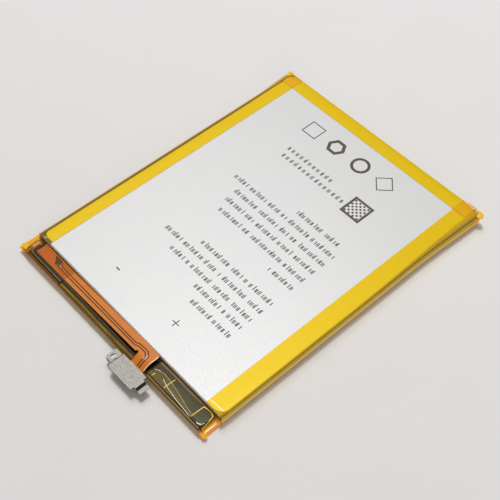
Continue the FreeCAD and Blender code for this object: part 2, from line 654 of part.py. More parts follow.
def connector_housing():
    """Moulded plug housing with the groove that takes the mating header."""
    x0 = PLUG_X - PLUG_LENGTH / 2
    x1 = PLUG_X + PLUG_LENGTH / 2
    y0 = PLATE_MIDDLE - PLUG_WIDTH / 2
    y1 = PLATE_MIDDLE + PLUG_WIDTH / 2
    radius = PLUG_CORNER_RADIUS
    outline = [(x0, y0, radius), (x1, y0, radius), (x1, y1, radius), (x0, y1, radius)]
    housing = plan_prism(outline, PLUG_TOP - PLUG_HEIGHT, PLUG_TOP)
    end_wall = (PLUG_WIDTH - PLUG_GROOVE_WIDTH) / 2
    groove = block(x0 + end_wall, x1 - end_wall, PLATE_MIDDLE - PLUG_GROOVE_WIDTH / 2,
                   PLATE_MIDDLE + PLUG_GROOVE_WIDTH / 2, PLUG_TOP - PLUG_HEIGHT,
                   PLUG_TOP - PLUG_HEIGHT + PLUG_GROOVE_DEPTH)
    return housing.cut(groove)


def build():
    """All the nodes by name."""
    positive_tab = cell_tab(TAB_PLACE)
    negative_tab = cell_tab(-TAB_PLACE)
    return {
        "pouch_cell": pouch_cell(),
        "face_label": face_label(),
        "side_tape_left": side_tape(LEFT_REACH, -1),
        "side_tape_right": side_tape(RIGHT_REACH, 1),
        "far_end_tape": far_end_tape(),
        "terrace_tape": terrace_tape(),
        "flex_anchor_tape": flex_anchor_tape(),
        "positive_tab": positive_tab,
        "negative_tab": negative_tab,
        "positive_tab_film": tab_film(TAB_PLACE, positive_tab),
        "negative_tab_film": tab_film(-TAB_PLACE, negative_tab),
        "insulating_strip": insulating_strip(),
        "foam_pads": foam_pads(),
        "protection_board": protection_board(),
        "control_chip": packaged_chip(CONTROL_CHIP, along_board(CONTROL_AT)),
        "switch_chips": Part.makeCompound([packaged_chip(SWITCH_CHIP, along_board(place))
                                           for place in SWITCHES_AT]),
        "chip_resistors": rows_of(SMALL_CHIP, RESISTORS_AT),
        "chip_capacitors": rows_of(SMALL_CAPACITOR, CAPACITORS_AT),
        "chip_fuse": chip_part(FUSE_CHIP, along_board(FUSE_AT), 0.0),
        "thermistor": chip_part(SMALL_CAPACITOR, along_board(THERMISTOR_AT), 0.0),
        "tab_pads": tab_pads(),
        "solder_joints": solder_joints(),
        "flex_circuit": flex_circuit(),
        "connector_plate": connector_plate(),
        "connector_housing": connector_housing(),
        "signal_contacts": signal_contacts(),
        "power_contacts": power_contacts(),
    }


def main():
    os.makedirs("parts", exist_ok=True)
    for name, shape in build().items():
        box = shape.BoundBox
        print(f"{name:20s} valid {shape.isValid()} solids {len(shape.Solids)} volume {shape.Volume:9.3f}"
              f"  x {box.XMin:7.2f} {box.XMax:7.2f}  y {box.YMin:7.2f} {box.YMax:7.2f}"
              f"  z {box.ZMin:6.2f} {box.ZMax:6.2f}")
        shape.exportStep(f"parts/{name}.step")


main()
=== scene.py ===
import math

import bpy
from bpy.props import FloatProperty, FloatVectorProperty, PointerProperty
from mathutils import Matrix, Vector
from mathutils.bvhtree import BVHTree


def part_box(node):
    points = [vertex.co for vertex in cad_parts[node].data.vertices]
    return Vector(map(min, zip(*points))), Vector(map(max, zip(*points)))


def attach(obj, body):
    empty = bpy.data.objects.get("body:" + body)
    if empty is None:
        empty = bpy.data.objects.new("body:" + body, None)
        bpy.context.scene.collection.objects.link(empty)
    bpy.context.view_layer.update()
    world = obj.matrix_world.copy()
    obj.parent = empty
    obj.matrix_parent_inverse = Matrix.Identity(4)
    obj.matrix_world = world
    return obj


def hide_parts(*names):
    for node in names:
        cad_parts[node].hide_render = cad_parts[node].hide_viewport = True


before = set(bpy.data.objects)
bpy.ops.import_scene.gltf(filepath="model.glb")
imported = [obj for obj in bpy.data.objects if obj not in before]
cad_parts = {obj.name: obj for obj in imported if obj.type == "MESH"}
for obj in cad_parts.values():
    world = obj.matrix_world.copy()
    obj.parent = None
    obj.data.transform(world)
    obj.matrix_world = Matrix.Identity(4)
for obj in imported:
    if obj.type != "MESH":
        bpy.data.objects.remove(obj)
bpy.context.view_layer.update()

bl_info = {
    "name": "Phone Battery Finishes",
    "version": (1, 0, 0),
    "blender": (4, 5, 0),
    "location": "View3D > Sidebar > Battery",
    "description": "Dresses a pouch battery's frame with films, label, print, flex circuit and stage",
    "category": "Object",
}

# Lengths in this file are millimetres, apart from the properties, and MM turns them into metres.
MM = 0.001


def span(node):
    """Lowest and highest corner of a frame node, in millimetres."""
    low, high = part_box(node)
    return low / MM, high / MM


LABEL_LOW, LABEL_HIGH = span("face_label")
POUCH_HIGH = span("pouch_cell")[1]
LEFT_LOW, LEFT_HIGH = span("side_tape_left")
RIGHT_LOW, RIGHT_HIGH = span("side_tape_right")
FAR_LOW, FAR_HIGH = span("far_end_tape")
ANCHOR_LOW, ANCHOR_HIGH = span("flex_anchor_tape")
BOARD_LOW, BOARD_HIGH = span("protection_board")
FLEX_LOW = span("flex_circuit")[0]
PLATE_LOW, PLATE_HIGH = span("connector_plate")

# Places worked out from the frame
PACK_SIDE = RIGHT_HIGH.x
PACK_FAR = POUCH_HIGH.y + PACK_SIDE - POUCH_HIGH.x
PACK_NEAR = ANCHOR_LOW.y
CUP_NEAR = LEFT_LOW.y
CUP_TOP = LABEL_LOW.z
BACK_LEVEL = LEFT_LOW.z
FACE_LEVEL = LABEL_HIGH.z
TAPE_TOP = LEFT_HIGH.z
FAR_TOP = FAR_HIGH.z
FAR_REACH = PACK_FAR - FAR_LOW.y
LEFT_REACH = LEFT_HIGH.x - LEFT_LOW.x
RIGHT_REACH = RIGHT_HIGH.x - RIGHT_LOW.x
ANCHOR_END = ANCHOR_HIGH.x
BOARD_TOP = BOARD_HIGH.z
LABEL_SIDE = PACK_SIDE - LABEL_HIGH.x - 0.04    # in from the pack's side, just past the label's edge


def setting(name, description, default, low, high):
    """A length property in metres, from millimetres."""
    return FloatProperty(name=name, description=description, default=default * MM, min=low * MM,
                         max=high * MM, subtype="DISTANCE", unit="LENGTH", precision=6)


def amount(name, description, default, high):
    """A plain number property, from 0 to its highest value."""
    return FloatProperty(name=name, description=description, default=default, min=0.0, max=high)


def paint(name, description, default):
    """A colour property."""
    return FloatVectorProperty(name=name, description=description, default=default, size=3, min=0.0,
                               max=1.0, subtype="COLOR")


class BatteryFilm(bpy.types.PropertyGroup):
    """Sizes and colours of the amber film tapes."""

    thickness: setting("Thickness", "Thickness of the film with its adhesive", 0.035, 0.02, 0.12)
    tint: paint("Tint", "Light that one skin of the film lets through", (1.0, 0.80, 0.15))
    laid: paint("Laid", "Colour of the film stuck down on the white face", (0.80, 0.52, 0.004))
    doubled: paint("Doubled", "Colour where one tape lies on another", (0.82, 0.37, 0.002))
    fold: paint("Fold", "Colour of the film where it is folded over", (0.15, 0.125, 0.015))
    glow: paint("Glow", "Colour of the pinched corners", (1.0, 0.56, 0.02))


class BatteryLabel(bpy.types.PropertyGroup):
    """Sizes and colours of the label and its print."""

    stock: paint("Stock", "Colour of the white label", (0.61, 0.605, 0.60))
    ink: paint("Ink", "Colour of the print", (0.070, 0.055, 0.048))
    line_height: setting("Line height", "Height of the rows of print", 1.35, 0.6, 2.0)


class BatteryFlex(bpy.types.PropertyGroup):
    """Sizes and colours of the flex circuit."""

    copper: paint("Copper", "Colour of the copper seen through its cover film", (0.68, 0.205, 0.020))
    gap: paint("Gap", "Colour of the etched gaps", (0.07, 0.035, 0.018))
    gap_width: setting("Gap width", "Width of the etched gaps beside the sense trace", 0.24, 0.05, 0.4)


class BatteryPlate(bpy.types.PropertyGroup):
    """Sizes and colours of the connector plate."""

    steel: paint("Steel", "Colour of the pressed steel", (0.295, 0.282, 0.258))
    edge: setting("Edge", "Rounding of the plate's pressed edges", 0.05, 0.0, 0.09)


class BatteryStage(bpy.types.PropertyGroup):
    """Lamps, floor and camera."""

    floor: paint("Floor", "Colour of the floor", (0.79, 0.775, 0.768))
    key_power: amount("Key power", "Power of the overhead lamp in watts", 5.0, 100.0)
    side_power: amount("Side power", "Power of the soft lamp beyond the left side in watts", 2.8, 100.0)
    fill_power: amount("Fill power", "Power of the low soft lamp in watts", 1.05, 100.0)
    sky: amount("Sky", "Brightness of the pale surroundings", 0.31, 2.0)
    lens: FloatProperty(name="Lens", description="Camera focal length in millimetres", default=71.9,
                        min=20.0, max=200.0, subtype="DISTANCE_CAMERA", unit="CAMERA")


def at(x, y, z):
    """A point given in millimetres."""
    return Vector((x, y, z)) * MM


def blend(a, b, share):
    """The value at a share of the way from a to b."""
    return a + (b - a) * share


def ease(share):
    """A smooth step of a share kept between 0 and 1."""
    share = min(max(share, 0.0), 1.0)
    return share * share * (3 - 2 * share)


def ripple(place, wave, turn):
    """A gentle unevenness between -1 and 1 along a place in millimetres."""
    parts = ((0.55, 1.0, 1.0), (0.30, 2.37, 1.7), (0.15, 4.91, 2.9))
    return sum(share * math.sin(place / wave * pace + turn * shift) for share, pace, shift in parts)


def stations(*runs):
    """Evenly spaced places over runs of (start, end, step)."""
    places = []
    for start, end, step in runs:
        count = max(1, math.ceil(abs(end - start) / step))
        places += [blend(start, end, number / count) for number in range(count + 1)]
    return places


def top_of(*pieces):
    """A function that gives the highest level of some pieces' surfaces at one (x, y), in millimetres."""
    trees = []
    for piece in pieces:
        corners = [vertex.co / MM for vertex in piece.data.vertices]
        faces = [tuple(face.vertices) for face in piece.data.polygons]
        trees.append(BVHTree.FromPolygons(corners, faces))

    def level(x, y):
        hits = [tree.ray_cast(Vector((x, y, 50.0)), Vector((0, 0, -1)))[0] for tree in trees]
        hits = [hit.z for hit in hits if hit is not None]
        if not hits:
            raise RuntimeError(f"{pieces[0].name} has no surface at {x:.2f}, {y:.2f}")
        return max(hits)

    return level


EDGE_REACH = 0.03           # from a sheet's cut edge to the extra points that sharpen its shading
EDGE_SHARE = 0.4            # of the way to the next point, at most
PATH_STEP = 0.12            # between the points of a strip's path
SMOOTHING_PASSES = 3


def join_mesh(name, shells, finish, smooth=False):
    """A mesh piece that rides with the battery, from shells of (points, faces)."""
    points = []
    faces = []
    for more, quads in shells:
        faces += [[len(points) + corner for corner in quad] for quad in quads]
        points += more
    mesh = bpy.data.meshes.new(name)
    mesh.from_pydata([tuple(point) for point in points], [], faces)
    mesh.validate()
    mesh.update()
    if smooth:
        mesh.shade_smooth()
    piece = bpy.data.objects.new(name, mesh)
    bpy.context.scene.collection.objects.link(piece)
    mesh.materials.append(finish)
    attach(piece, "root")
    return piece


def edged(line):
    """A line of points with one more close to each end, so that a cut edge shades sharply."""
    ends = []
    for here, following in ((line[0], line[1]), (line[-1], line[-2])):
        here, following = Vector(here), Vector(following)
        length = max((following - here).length, EDGE_REACH)
        ends.append(tuple(here.lerp(following, min(EDGE_SHARE, EDGE_REACH / length))))
    return [line[0], ends[0], *line[1:-1], ends[1], line[-1]]


def sheet(name, rows, thickness, finish):
    """A closed thin sheet of film whose outer skin passes through rows of points in millimetres."""
    rows = [edged(row) for row in rows]
    rows = list(zip(*[edged(column) for column in zip(*rows)]))
    width = len(rows[0])
    points = [at(*point) for row in rows for point in row]
    faces = []
    for first in range(0, len(points) - width, width):
        for corner in range(first, first + width - 1):
            faces.append((corner, corner + 1, corner + width + 1, corner + width))
    piece = join_mesh(name, [(points, faces)], finish, smooth=True)
    solid = piece.modifiers.new("thickness", "SOLIDIFY")
    solid.thickness = thickness
    solid.offset = -1.0
    return piece


def prism(plan, low, top):
    """Points and faces of an upright prism over the corners of its plan, given counter-clockwise."""
    count = len(plan)
    points = [at(x, y, level) for level in (low, top) for x, y in plan]
    faces = [tuple(range(count))[::-1], tuple(range(count, 2 * count))]
    for corner in range(count):
        following = (corner + 1) % count
        faces.append((corner, following, count + following, count + corner))
    return points, faces


def swept(sections, closed):
    """Points and faces of a bar through sections of four corners, closed to a ring or with end faces."""
    points = [corner for section in sections for corner in section]
    faces = []
    for first in range(0, len(points) if closed else len(points) - 4, 4):
        following = (first + 4) % len(points)
        for corner in range(4):
            after = (corner + 1) % 4
            faces.append((first + corner, first + after, following + after, following + corner))
    if not closed:
        last = len(points) - 4
        faces += [(3, 2, 1, 0), (last, last + 1, last + 2, last + 3)]
    return points, faces


def ribbon(path, width, thickness):
    """Points and faces of a closed strip along a path of points in millimetres."""
    sections = []
    for number, here in enumerate(path):
        along = path[min(number + 1, len(path) - 1)] - path[max(number - 1, 0)]
        across = Vector((-along.y, along.x, 0)).normalized() * width / 2
        sections.append([(here + across * side + Vector((0, 0, level))) * MM
                         for side, level in ((-1, 0), (1, 0), (1, thickness), (-1, thickness))])
    return swept(sections, closed=False)


def smooth_path(corners):
    """A path through corners with short rounded turns."""
    path = []
    for start, end in zip(corners, corners[1:]):
        count = max(1, round((end - start).length / PATH_STEP))
        path += [start.lerp(end, part / count) for part in range(count)]
    path.append(corners[-1])
    for _ in range(SMOOTHING_PASSES):
        inside = [(before + here * 2 + after) / 4
                  for before, here, after in zip(path, path[1:], path[2:])]
        path = [path[0], *inside, path[-1]]
    return path


def strips(name, paths, width, thickness, finish, level=None, lift=0.0):
    """Closed strips along smoothed paths, as one piece, laid on a level where the paths give none."""
    shells = []
    for corners in paths:
        path = smooth_path([Vector((*corner, 0.0)[:3]) for corner in corners])
        if level:
            path = [Vector((place.x, place.y, level(place.x, place.y) + lift)) for place in path]
        shells.append(ribbon(path, width, thickness))
    return join_mesh(name, shells, finish)


# Finishes


def new_finish(name):
    """A material with an empty node tree and its output node."""
    made = bpy.data.materials.new(name)
    made.use_nodes = True
    tree = made.node_tree
    tree.nodes.clear()
    return made, tree, tree.nodes.new("ShaderNodeOutputMaterial")


def put(tree, kind, sockets=None, **settings):
    """A node with settings, and with sockets set to values or linked to other sockets."""
    made = tree.nodes.new(kind)
    for key, value in settings.items():
        setattr(made, key, value)
    for key, value in (sockets or {}).items():
        if isinstance(value, bpy.types.NodeSocket):
            tree.links.new(value, made.inputs[key])
        else:
            made.inputs[key].default_value = value
    return made


def grain(tree, size, detail, stretch=(1.0, 1.0, 1.0)):
    """Noise with features of a size in millimetres, fixed to the battery."""
    place = put(tree, "ShaderNodeTexCoord")
    scaled = put(tree, "ShaderNodeMapping", {"Vector": place.outputs["Object"], "Scale": stretch})
    noise = put(tree, "ShaderNodeTexNoise",
                {"Vector": scaled.outputs["Vector"], "Scale": 1 / (size * MM), "Detail": detail})
    return noise.outputs["Fac"]


def between(tree, share, low, high):
    """A value between low and high, steered by a share."""
    ranged = put(tree, "ShaderNodeMapRange", {"Value": share, "From Min": 0.3, "From Max": 0.7,
                                              "To Min": low, "To Max": high})
    return ranged.outputs["Result"]


def mixed(tree, share, low, high):
    """A colour between two colours, steered by a share."""
    ramp = put(tree, "ShaderNodeValToRGB", {"Fac": share})
    for element, position, colour in zip(ramp.color_ramp.elements, (0.32, 0.68), (low, high)):
        element.position = position
        element.color = (*colour, 1)
    return ramp.outputs["Color"]


def relief(tree, height, depth):
    """A normal roughened by a height, with its depth in millimetres."""
    return put(tree, "ShaderNodeBump", {"Height": height, "Distance": depth * MM}).outputs["Normal"]


def shaded(colour, factor):
    """A colour made darker or lighter by a factor."""
    return tuple(min(1.0, channel * factor) for channel in colour)


def banded(tree, axis, stops):
    """A colour or a value that changes along one axis, through stops of (place, shade)."""
    place = put(tree, "ShaderNodeTexCoord")
    parts = put(tree, "ShaderNodeSeparateXYZ", {"Vector": place.outputs["Object"]})
    start, end = stops[0][0], stops[-1][0]
    share = put(tree, "ShaderNodeMapRange", {"Value": parts.outputs[axis], "From Min": start * MM,
                                             "From Max": end * MM})
    ramp = put(tree, "ShaderNodeValToRGB", {"Fac": share.outputs["Result"]})
    elements = ramp.color_ramp.elements
    for level, _ in stops[1:-1]:
        elements.new((level - start) / (end - start))
    for element, (_, shade) in zip(elements, stops):
        element.color = (*shade, 1) if isinstance(shade, tuple) else (shade, shade, shade, 1)
    return ramp.outputs["Color"]


def times(tree, colour, shade):
    """A colour multiplied by another."""
    product = put(tree, "ShaderNodeMix", {0: 1.0, 6: colour, 7: shade}, data_type="RGBA",
                  blend_type="MULTIPLY")
    return product.outputs[2]


BROAD_GRAIN = 9             # times the fine grain, for the slow change in colour
ROUGHNESS_SPREAD = 0.08


def plain_finish(name, colour, roughness, grain_size, depth, metallic=0.0, coat=0.0, spread=0.12,
                 stretch=(1.0, 1.0, 1.0), specular=0.5, bands=None):
    """An opaque finish with its own grain in colour, roughness and relief."""
    made, tree, output = new_finish(name)
    fine = grain(tree, grain_size, 4.0, stretch)
    broad = grain(tree, grain_size * BROAD_GRAIN, 2.0)
    base = mixed(tree, broad, shaded(colour, 1 - spread), shaded(colour, 1 + spread))
    if bands:
        base = times(tree, base, banded(tree, *bands))
    smoothest = max(0.02, roughness - ROUGHNESS_SPREAD)
    skin = put(tree, "ShaderNodeBsdfPrincipled", {
        "Base Color": base,
        "Roughness": between(tree, fine, smoothest, roughness + ROUGHNESS_SPREAD),
        "Metallic": metallic,
        "Coat Weight": coat,
        "Coat Roughness": 0.42,
        "Specular IOR Level": specular,
        "Normal": relief(tree, fine, depth),
    })
    tree.links.new(skin.outputs[0], output.inputs["Surface"])
    return made


def over(tree, share, low, high):
    """One shader mixed over another by a share."""
    return put(tree, "ShaderNodeMixShader", {0: share, 1: low.outputs[0], 2: high.outputs[0]})


def film_finish(name, film, body, haze, veil, gloss=0.02, bands=None, tint=None):
    """Amber film: each skin tints what is behind it, and shines more at a glancing angle.

    The body is its colour, or an axis with stops. The haze is the share that scatters light, and the
    veil is a broad soft shine as (weight, colour). Both may be stops by level."""
    made, tree, output = new_finish(name)
    waves = grain(tree, 5.0, 2.0)
    fine = grain(tree, 0.5, 2.0, (1.0, 0.4, 1.0))
    normal = relief(tree, waves, 0.03)
    if isinstance(body[0], str):
        mottle = mixed(tree, fine, (0.96, 0.96, 0.96), (1.0, 1.0, 1.0))
        colour = times(tree, banded(tree, *body), mottle)
    else:
        colour = mixed(tree, fine, shaded(body, 0.97), shaded(body, 1.02))
    if bands:
        colour = times(tree, colour, banded(tree, *bands))
    if isinstance(haze, tuple):
        share = banded(tree, "Z", haze)
    else:
        share = between(tree, waves, haze * 0.85, haze * 1.1)
    weight, veil_colour = veil
    if isinstance(weight, tuple):
        weight = banded(tree, "Z", weight)
    through = put(tree, "ShaderNodeBsdfTransparent", {"Color": (*(tint or film.tint), 1)})
    skin = put(tree, "ShaderNodeBsdfDiffuse", {"Color": colour, "Normal": normal})
    soft = put(tree, "ShaderNodeBsdfGlossy", {"Color": (*veil_colour, 1), "Normal": normal,
                                              "Roughness": 0.45})
    shine = put(tree, "ShaderNodeBsdfGlossy", {"Color": (1, 0.96, 0.88, 1), "Normal": normal,
                                               "Roughness": between(tree, waves, 0.18, 0.26)})
    facing = put(tree, "ShaderNodeLayerWeight", {"Blend": 0.5})
    rim_light = put(tree, "ShaderNodeMath", {0: facing.outputs["Facing"], 1: 4.0}, operation="POWER")
    part = put(tree, "ShaderNodeMapRange", {"Value": rim_light.outputs[0], "To Min": gloss, "To Max": 0.22})
    veiled = over(tree, weight, over(tree, share, through, skin), soft)
    whole = over(tree, part.outputs["Result"], veiled, shine)
    tree.links.new(whole.outputs[0], output.inputs["Surface"])
    return made


def finish_of(name):
    """A finish that an earlier step made."""
    if name not in bpy.data.materials:
        raise RuntimeError(f"the finish {name} is made by another step, which has to run first")
    return bpy.data.materials[name]


def wear(node, finish):
    """Gives a frame node a finish."""
    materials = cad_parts[node].data.materials
    materials.clear()
    materials.append(finish)


def round_edges(node, width):
    """Rounds the sharp edges of a frame node."""
    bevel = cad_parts[node].modifiers.new("edges", "BEVEL")
    bevel.width = width
    bevel.segments = 2
    bevel.limit_method = "ANGLE"
    bevel.angle_limit = math.radians(40.0)


METAL = {"metallic": 1.0}
# Plain finishes of the nodes: name, nodes, colour, roughness, grain size, depth and what else they take
CORE_FINISHES = (
    ("tab_aluminium", ("positive_tab",), (0.80, 0.80, 0.81), 0.35, 0.2, 0.006, METAL),
    ("tab_nickel", ("negative_tab", "tab_pads"), (0.66, 0.63, 0.58), 0.32, 0.2, 0.006, METAL),
    ("tab_seal_film", ("positive_tab_film", "negative_tab_film"), (0.05, 0.05, 0.055), 0.5, 0.2, 0.004,
     {}),
    ("strip_paper", ("insulating_strip",), (0.72, 0.70, 0.62), 0.8, 0.15, 0.012,
     {"stretch": (0.3, 1.0, 1.0)}),
    ("pad_foam", ("foam_pads",), (0.03, 0.03, 0.032), 0.9, 0.12, 0.03, {}),
    ("board_mask", ("protection_board",), (0.030, 0.032, 0.032), 0.5, 0.3, 0.01, {"specular": 0.08}),
    ("chip_moulding", ("control_chip", "switch_chips"), (0.035, 0.035, 0.037), 0.6, 0.08, 0.006, {}),
    ("resistor_glaze", ("chip_resistors", "thermistor"), (0.05, 0.05, 0.055), 0.35, 0.1, 0.004, {}),
    ("capacitor_ceramic", ("chip_capacitors", "chip_fuse"), (0.40, 0.27, 0.17), 0.5, 0.1, 0.004, {}),
    ("solder_tin", ("solder_joints",), (0.72, 0.72, 0.73), 0.25, 0.3, 0.01, METAL),
    ("contact_gold", ("signal_contacts", "power_contacts"), (0.83, 0.60, 0.25), 0.25, 0.1, 0.003,
     METAL),
    ("plug_moulding", ("connector_housing",), (0.04, 0.04, 0.042), 0.5, 0.1, 0.006, {}),
)
SEAL_TOP = TAPE_TOP - 1.05  # where the folded seal ends on the cup's wall
SEAL_SHADE = 0.16           # of the laminate in the shadow above the seal


class BATTERY_OT_core(bpy.types.Operator):
    """Finish the pouch, the tabs, the board and the parts on it"""

    bl_idname = "battery.core"
    bl_label = "Pouch and board"

    def execute(self, context):
        top = POUCH_HIGH.z
        shade = ("Z", ((0.0, 1.0), (SEAL_TOP, 1.0), (SEAL_TOP + 0.1, SEAL_SHADE),
                       (top - 0.45, SEAL_SHADE), (top - 0.12, 0.7), (top, 1.0)))
        laminate = plain_finish("pouch_laminate", (0.62, 0.62, 0.63), 0.33, 0.5, 0.01, metallic=0.9,
                                spread=0.05, bands=shade)
        wear("pouch_cell", laminate)
        for name, nodes, colour, roughness, size, depth, more in CORE_FINISHES:
            finish = plain_finish(name, colour, roughness, size, depth, **more)
            for node in nodes:
                wear(node, finish)
        return {"FINISHED"}


# Print on the label: rows of plain ticks in word lengths, as (y, right end, word lengths in ticks)
ROWS = (
    (-21.5, 17.0, (6, 7)),
    (-18.5, 17.0, (5, 1, 9)),
    (-15.9, 17.0, (7, 6, 7, 1, 5)),
    (-13.1, 17.0, (5, 8, 1, 4, 7, 6)),
    (-10.2, 17.0, (8, 1, 4, 10)),
    (-4.6, 17.0, (7, 1)),
    (-1.6, 17.0, (7, 11, 2, 8)),
    (1.4, 17.0, (7, 5, 7, 3, 7)),
    (4.3, 17.0, (9, 2, 3, 7, 8)),
    (7.2, 17.0, (8, 7, 2, 4, 6, 5)),
    (10.2, 15.3, (5, 9)),
)
WIDE_ROWS = ((21.7, 1.8, 11), (19.3, 7.6, 15))      # (y, right end, number of ticks)
TICK_PITCH = 0.86
WIDE_PITCH = 1.30
TICK_WIDTH = 0.22
TICK_SPREADS = (0.62, 0.70, 0.56, 0.66)             # of a pitch, over both strokes
TICK_HEIGHTS = (0.72, 1.0, 0.72, 0.72, 0.86)        # of the row's height
WORD_GAP = 0.75                                     # of a pitch
INK_TOP = FACE_LEVEL + 0.012
# A row of plain rings, as (x, sides, outer, inner, turn), with the radii as shares of the reach
RINGS = (
    (-11.8, 4, 1.25, 1.10, math.pi / 4), (-4.6, 6, 1.05, 0.66, 0.0),
    (2.9, 40, 1.0, 0.70, 0.0), (10.2, 4, 1.15, 1.0, 0.0),
)
RING_ROW = 29.6
RING_REACH = 2.3
LATTICE_PLACE = (11.25, 19.9)
LATTICE_REACH = 2.7
LATTICE_CELLS = 9
BORDER_SHARE = 0.98         # of a cell
DOT_SHARE = 0.8
PLUS_PLACE = (7.6, -27.4)
PLUS_REACH = (0.95, 0.11)   # half an arm's span, and half its width
MINUS_PLACE = (-10.6, -27.7)
MINUS_REACH = (0.55, 0.16)


def oblong(x0, x1, y0, y1):
    """The plan of a slab, counter-clockwise."""
    return (x0, y0), (x1, y0), (x1, y1), (x0, y1)


def tick_group(right, y, height, number):
    """Plans of one or two plain upright strokes that touch nothing, varied by their number."""
    left = right - TICK_PITCH * TICK_SPREADS[number % len(TICK_SPREADS)]
    plans = [oblong(right - TICK_WIDTH, right, y, y + height * TICK_HEIGHTS[number % len(TICK_HEIGHTS)])]
    if number % 3 != 1:
        plans.append(oblong(left, left + TICK_WIDTH, y, y + height * TICK_HEIGHTS[0]))
    return plans


def tick_rows(height):
    """Plans of all the rows of ticks."""
    plans = []
    count = 0
    for y, place, words in ROWS:
        for word in words:
            for _ in range(word):
                plans += tick_group(place, y - height / 2, height, count)
                place -= TICK_PITCH
                count += 1
            place -= TICK_PITCH * WORD_GAP
    for y, right, number in WIDE_ROWS:
        for group in range(number):
            plans += tick_group(right - group * WIDE_PITCH, y - height / 2, height, count + group * 3)
    return plans


def lattice():
    """Plans of a plain square of dots inside a border."""
    cell = 2 * LATTICE_REACH / LATTICE_CELLS
    ends = (0, LATTICE_CELLS - 1)
    plans = []
    for i in range(LATTICE_CELLS):
        for j in range(LATTICE_CELLS):
            border = i in ends or j in ends
            if border or (i + j) % 2 == 0:
                x = LATTICE_PLACE[0] - LATTICE_REACH + i * cell
                y = LATTICE_PLACE[1] - LATTICE_REACH + j * cell
                size = cell * (BORDER_SHARE if border else DOT_SHARE)
                plans.append(oblong(x, x + size, y, y + size))
    return plans


def signs():
    """Plans of the plus and minus signs."""
    x, y = PLUS_PLACE
    arm, half = PLUS_REACH
    plans = [oblong(x - arm, x - half, y - half, y + half),
             oblong(x + half, x + arm, y - half, y + half),
             oblong(x - half, x + half, y - arm, y + arm)]
    x, y = MINUS_PLACE
    arm, half = MINUS_REACH
    return [*plans, oblong(x - arm, x + arm, y - half, y + half)]


def ring(x, sides, outer, inner, turn):
    """Points and faces of a flat ring of ink with straight sides."""
    sections = []
    for number in range(sides):
        angle = turn + number * 2 * math.pi / sides
        sections.append([at(x + RING_REACH * reach * math.cos(angle),
                            RING_ROW + RING_REACH * reach * math.sin(angle), level)
                         for reach, level in ((outer, FACE_LEVEL), (inner, FACE_LEVEL), (inner, INK_TOP),
                                              (outer, INK_TOP))])
    return swept(sections, closed=True)


class BATTERY_OT_label(bpy.types.Operator):
    """Finish the white label and lay its plain print on it"""

    bl_idname = "battery.label"
    bl_label = "Label and print"

    def execute(self, context):
        label = context.scene.battery_label
        stock = plain_finish("label_stock", label.stock, 0.45, 0.35, 0.002, spread=0.01, specular=1.0,
                             coat=1.0)
        wear("face_label", stock)
        ink = plain_finish("label_ink", label.ink, 0.55, 0.12, 0.002, spread=0.3)
        rows, dots, marks = ([prism(plan, FACE_LEVEL, INK_TOP) for plan in plans]
                             for plans in (tick_rows(label.line_height / MM), lattice(), signs()))
        rings = [ring(*sizes) for sizes in RINGS]
        for name, shells in (("print_rows", rows), ("print_lattice", dots), ("print_rings", rings),
                             ("polarity_signs", marks)):
            join_mesh(name, shells, ink)
        return {"FINISHED"}


# Where the yellow of the laid tapes ends near the terrace, how round its corners are, and how far the
# tape steps down past it
LEFT_END = CUP_NEAR + 0.72
RIGHT_END = CUP_NEAR + 0.20
LEFT_CORNER = 1.1
RIGHT_CORNER = 2.0
NEAR_DROP = 0.054
NEAR_DROP_REACH = 0.14
# Level at which the folded seal meets the cup's wall under the film
SEAM_LEVEL = 1.92
# How the laid tapes take the light, by level: their soft shine is full on the face alone
LAID = {
    "haze": ((0.0, 0.84), (TAPE_TOP - 0.10, 0.84), (TAPE_TOP - 0.03, 0.88), (FAR_TOP + 0.1, 0.88)),
    "veil": (((BACK_LEVEL, 0.02), (TAPE_TOP - 0.05, 0.02), (TAPE_TOP - 0.035, 0.10),
              (FAR_TOP + 0.1, 0.10)), (1.0, 0.80, 0.08)),
    "gloss": 0.003,
}
# Runs of (start, end, step) along the side tapes, finer where their near corners are round
SIDE_RUNS = ((CUP_NEAR, CUP_NEAR + 2.4, 0.12), (CUP_NEAR + 3.0, LEFT_HIGH.y, 0.7))
# Warmer shade of the right tape under the far tape
WARM_END = ("Y", ((CUP_NEAR, 1.0), (FAR_LOW.y - 1.0, 1.0), (FAR_LOW.y + 1.5, (1.1, 0.86, 0.6)),
                  (PACK_FAR, (1.1, 0.86, 0.6))))


def lap_rows(reach, turn_in, end, radius, y):
    """(distance in from the pack's side, level) of a side tape at one y, from its edge to its shoulder.

    Its flat part ends at a straight line with a rounded corner, where it turns in further."""
    top = TAPE_TOP - NEAR_DROP * ease((end - y) / NEAR_DROP_REACH)
    past = min(max(end + radius - y, 0.0), radius)
    turn_in += radius - math.sqrt(radius * radius - past * past)
    return [
        (reach, top), (max(reach * 0.5, turn_in + 0.3), top), (turn_in + 0.2, top),
        (turn_in, top - 0.01), (turn_in - 0.04, TAPE_TOP - 0.045),
        (min(turn_in - 0.06, LABEL_SIDE), TAPE_TOP - 0.052),
    ]


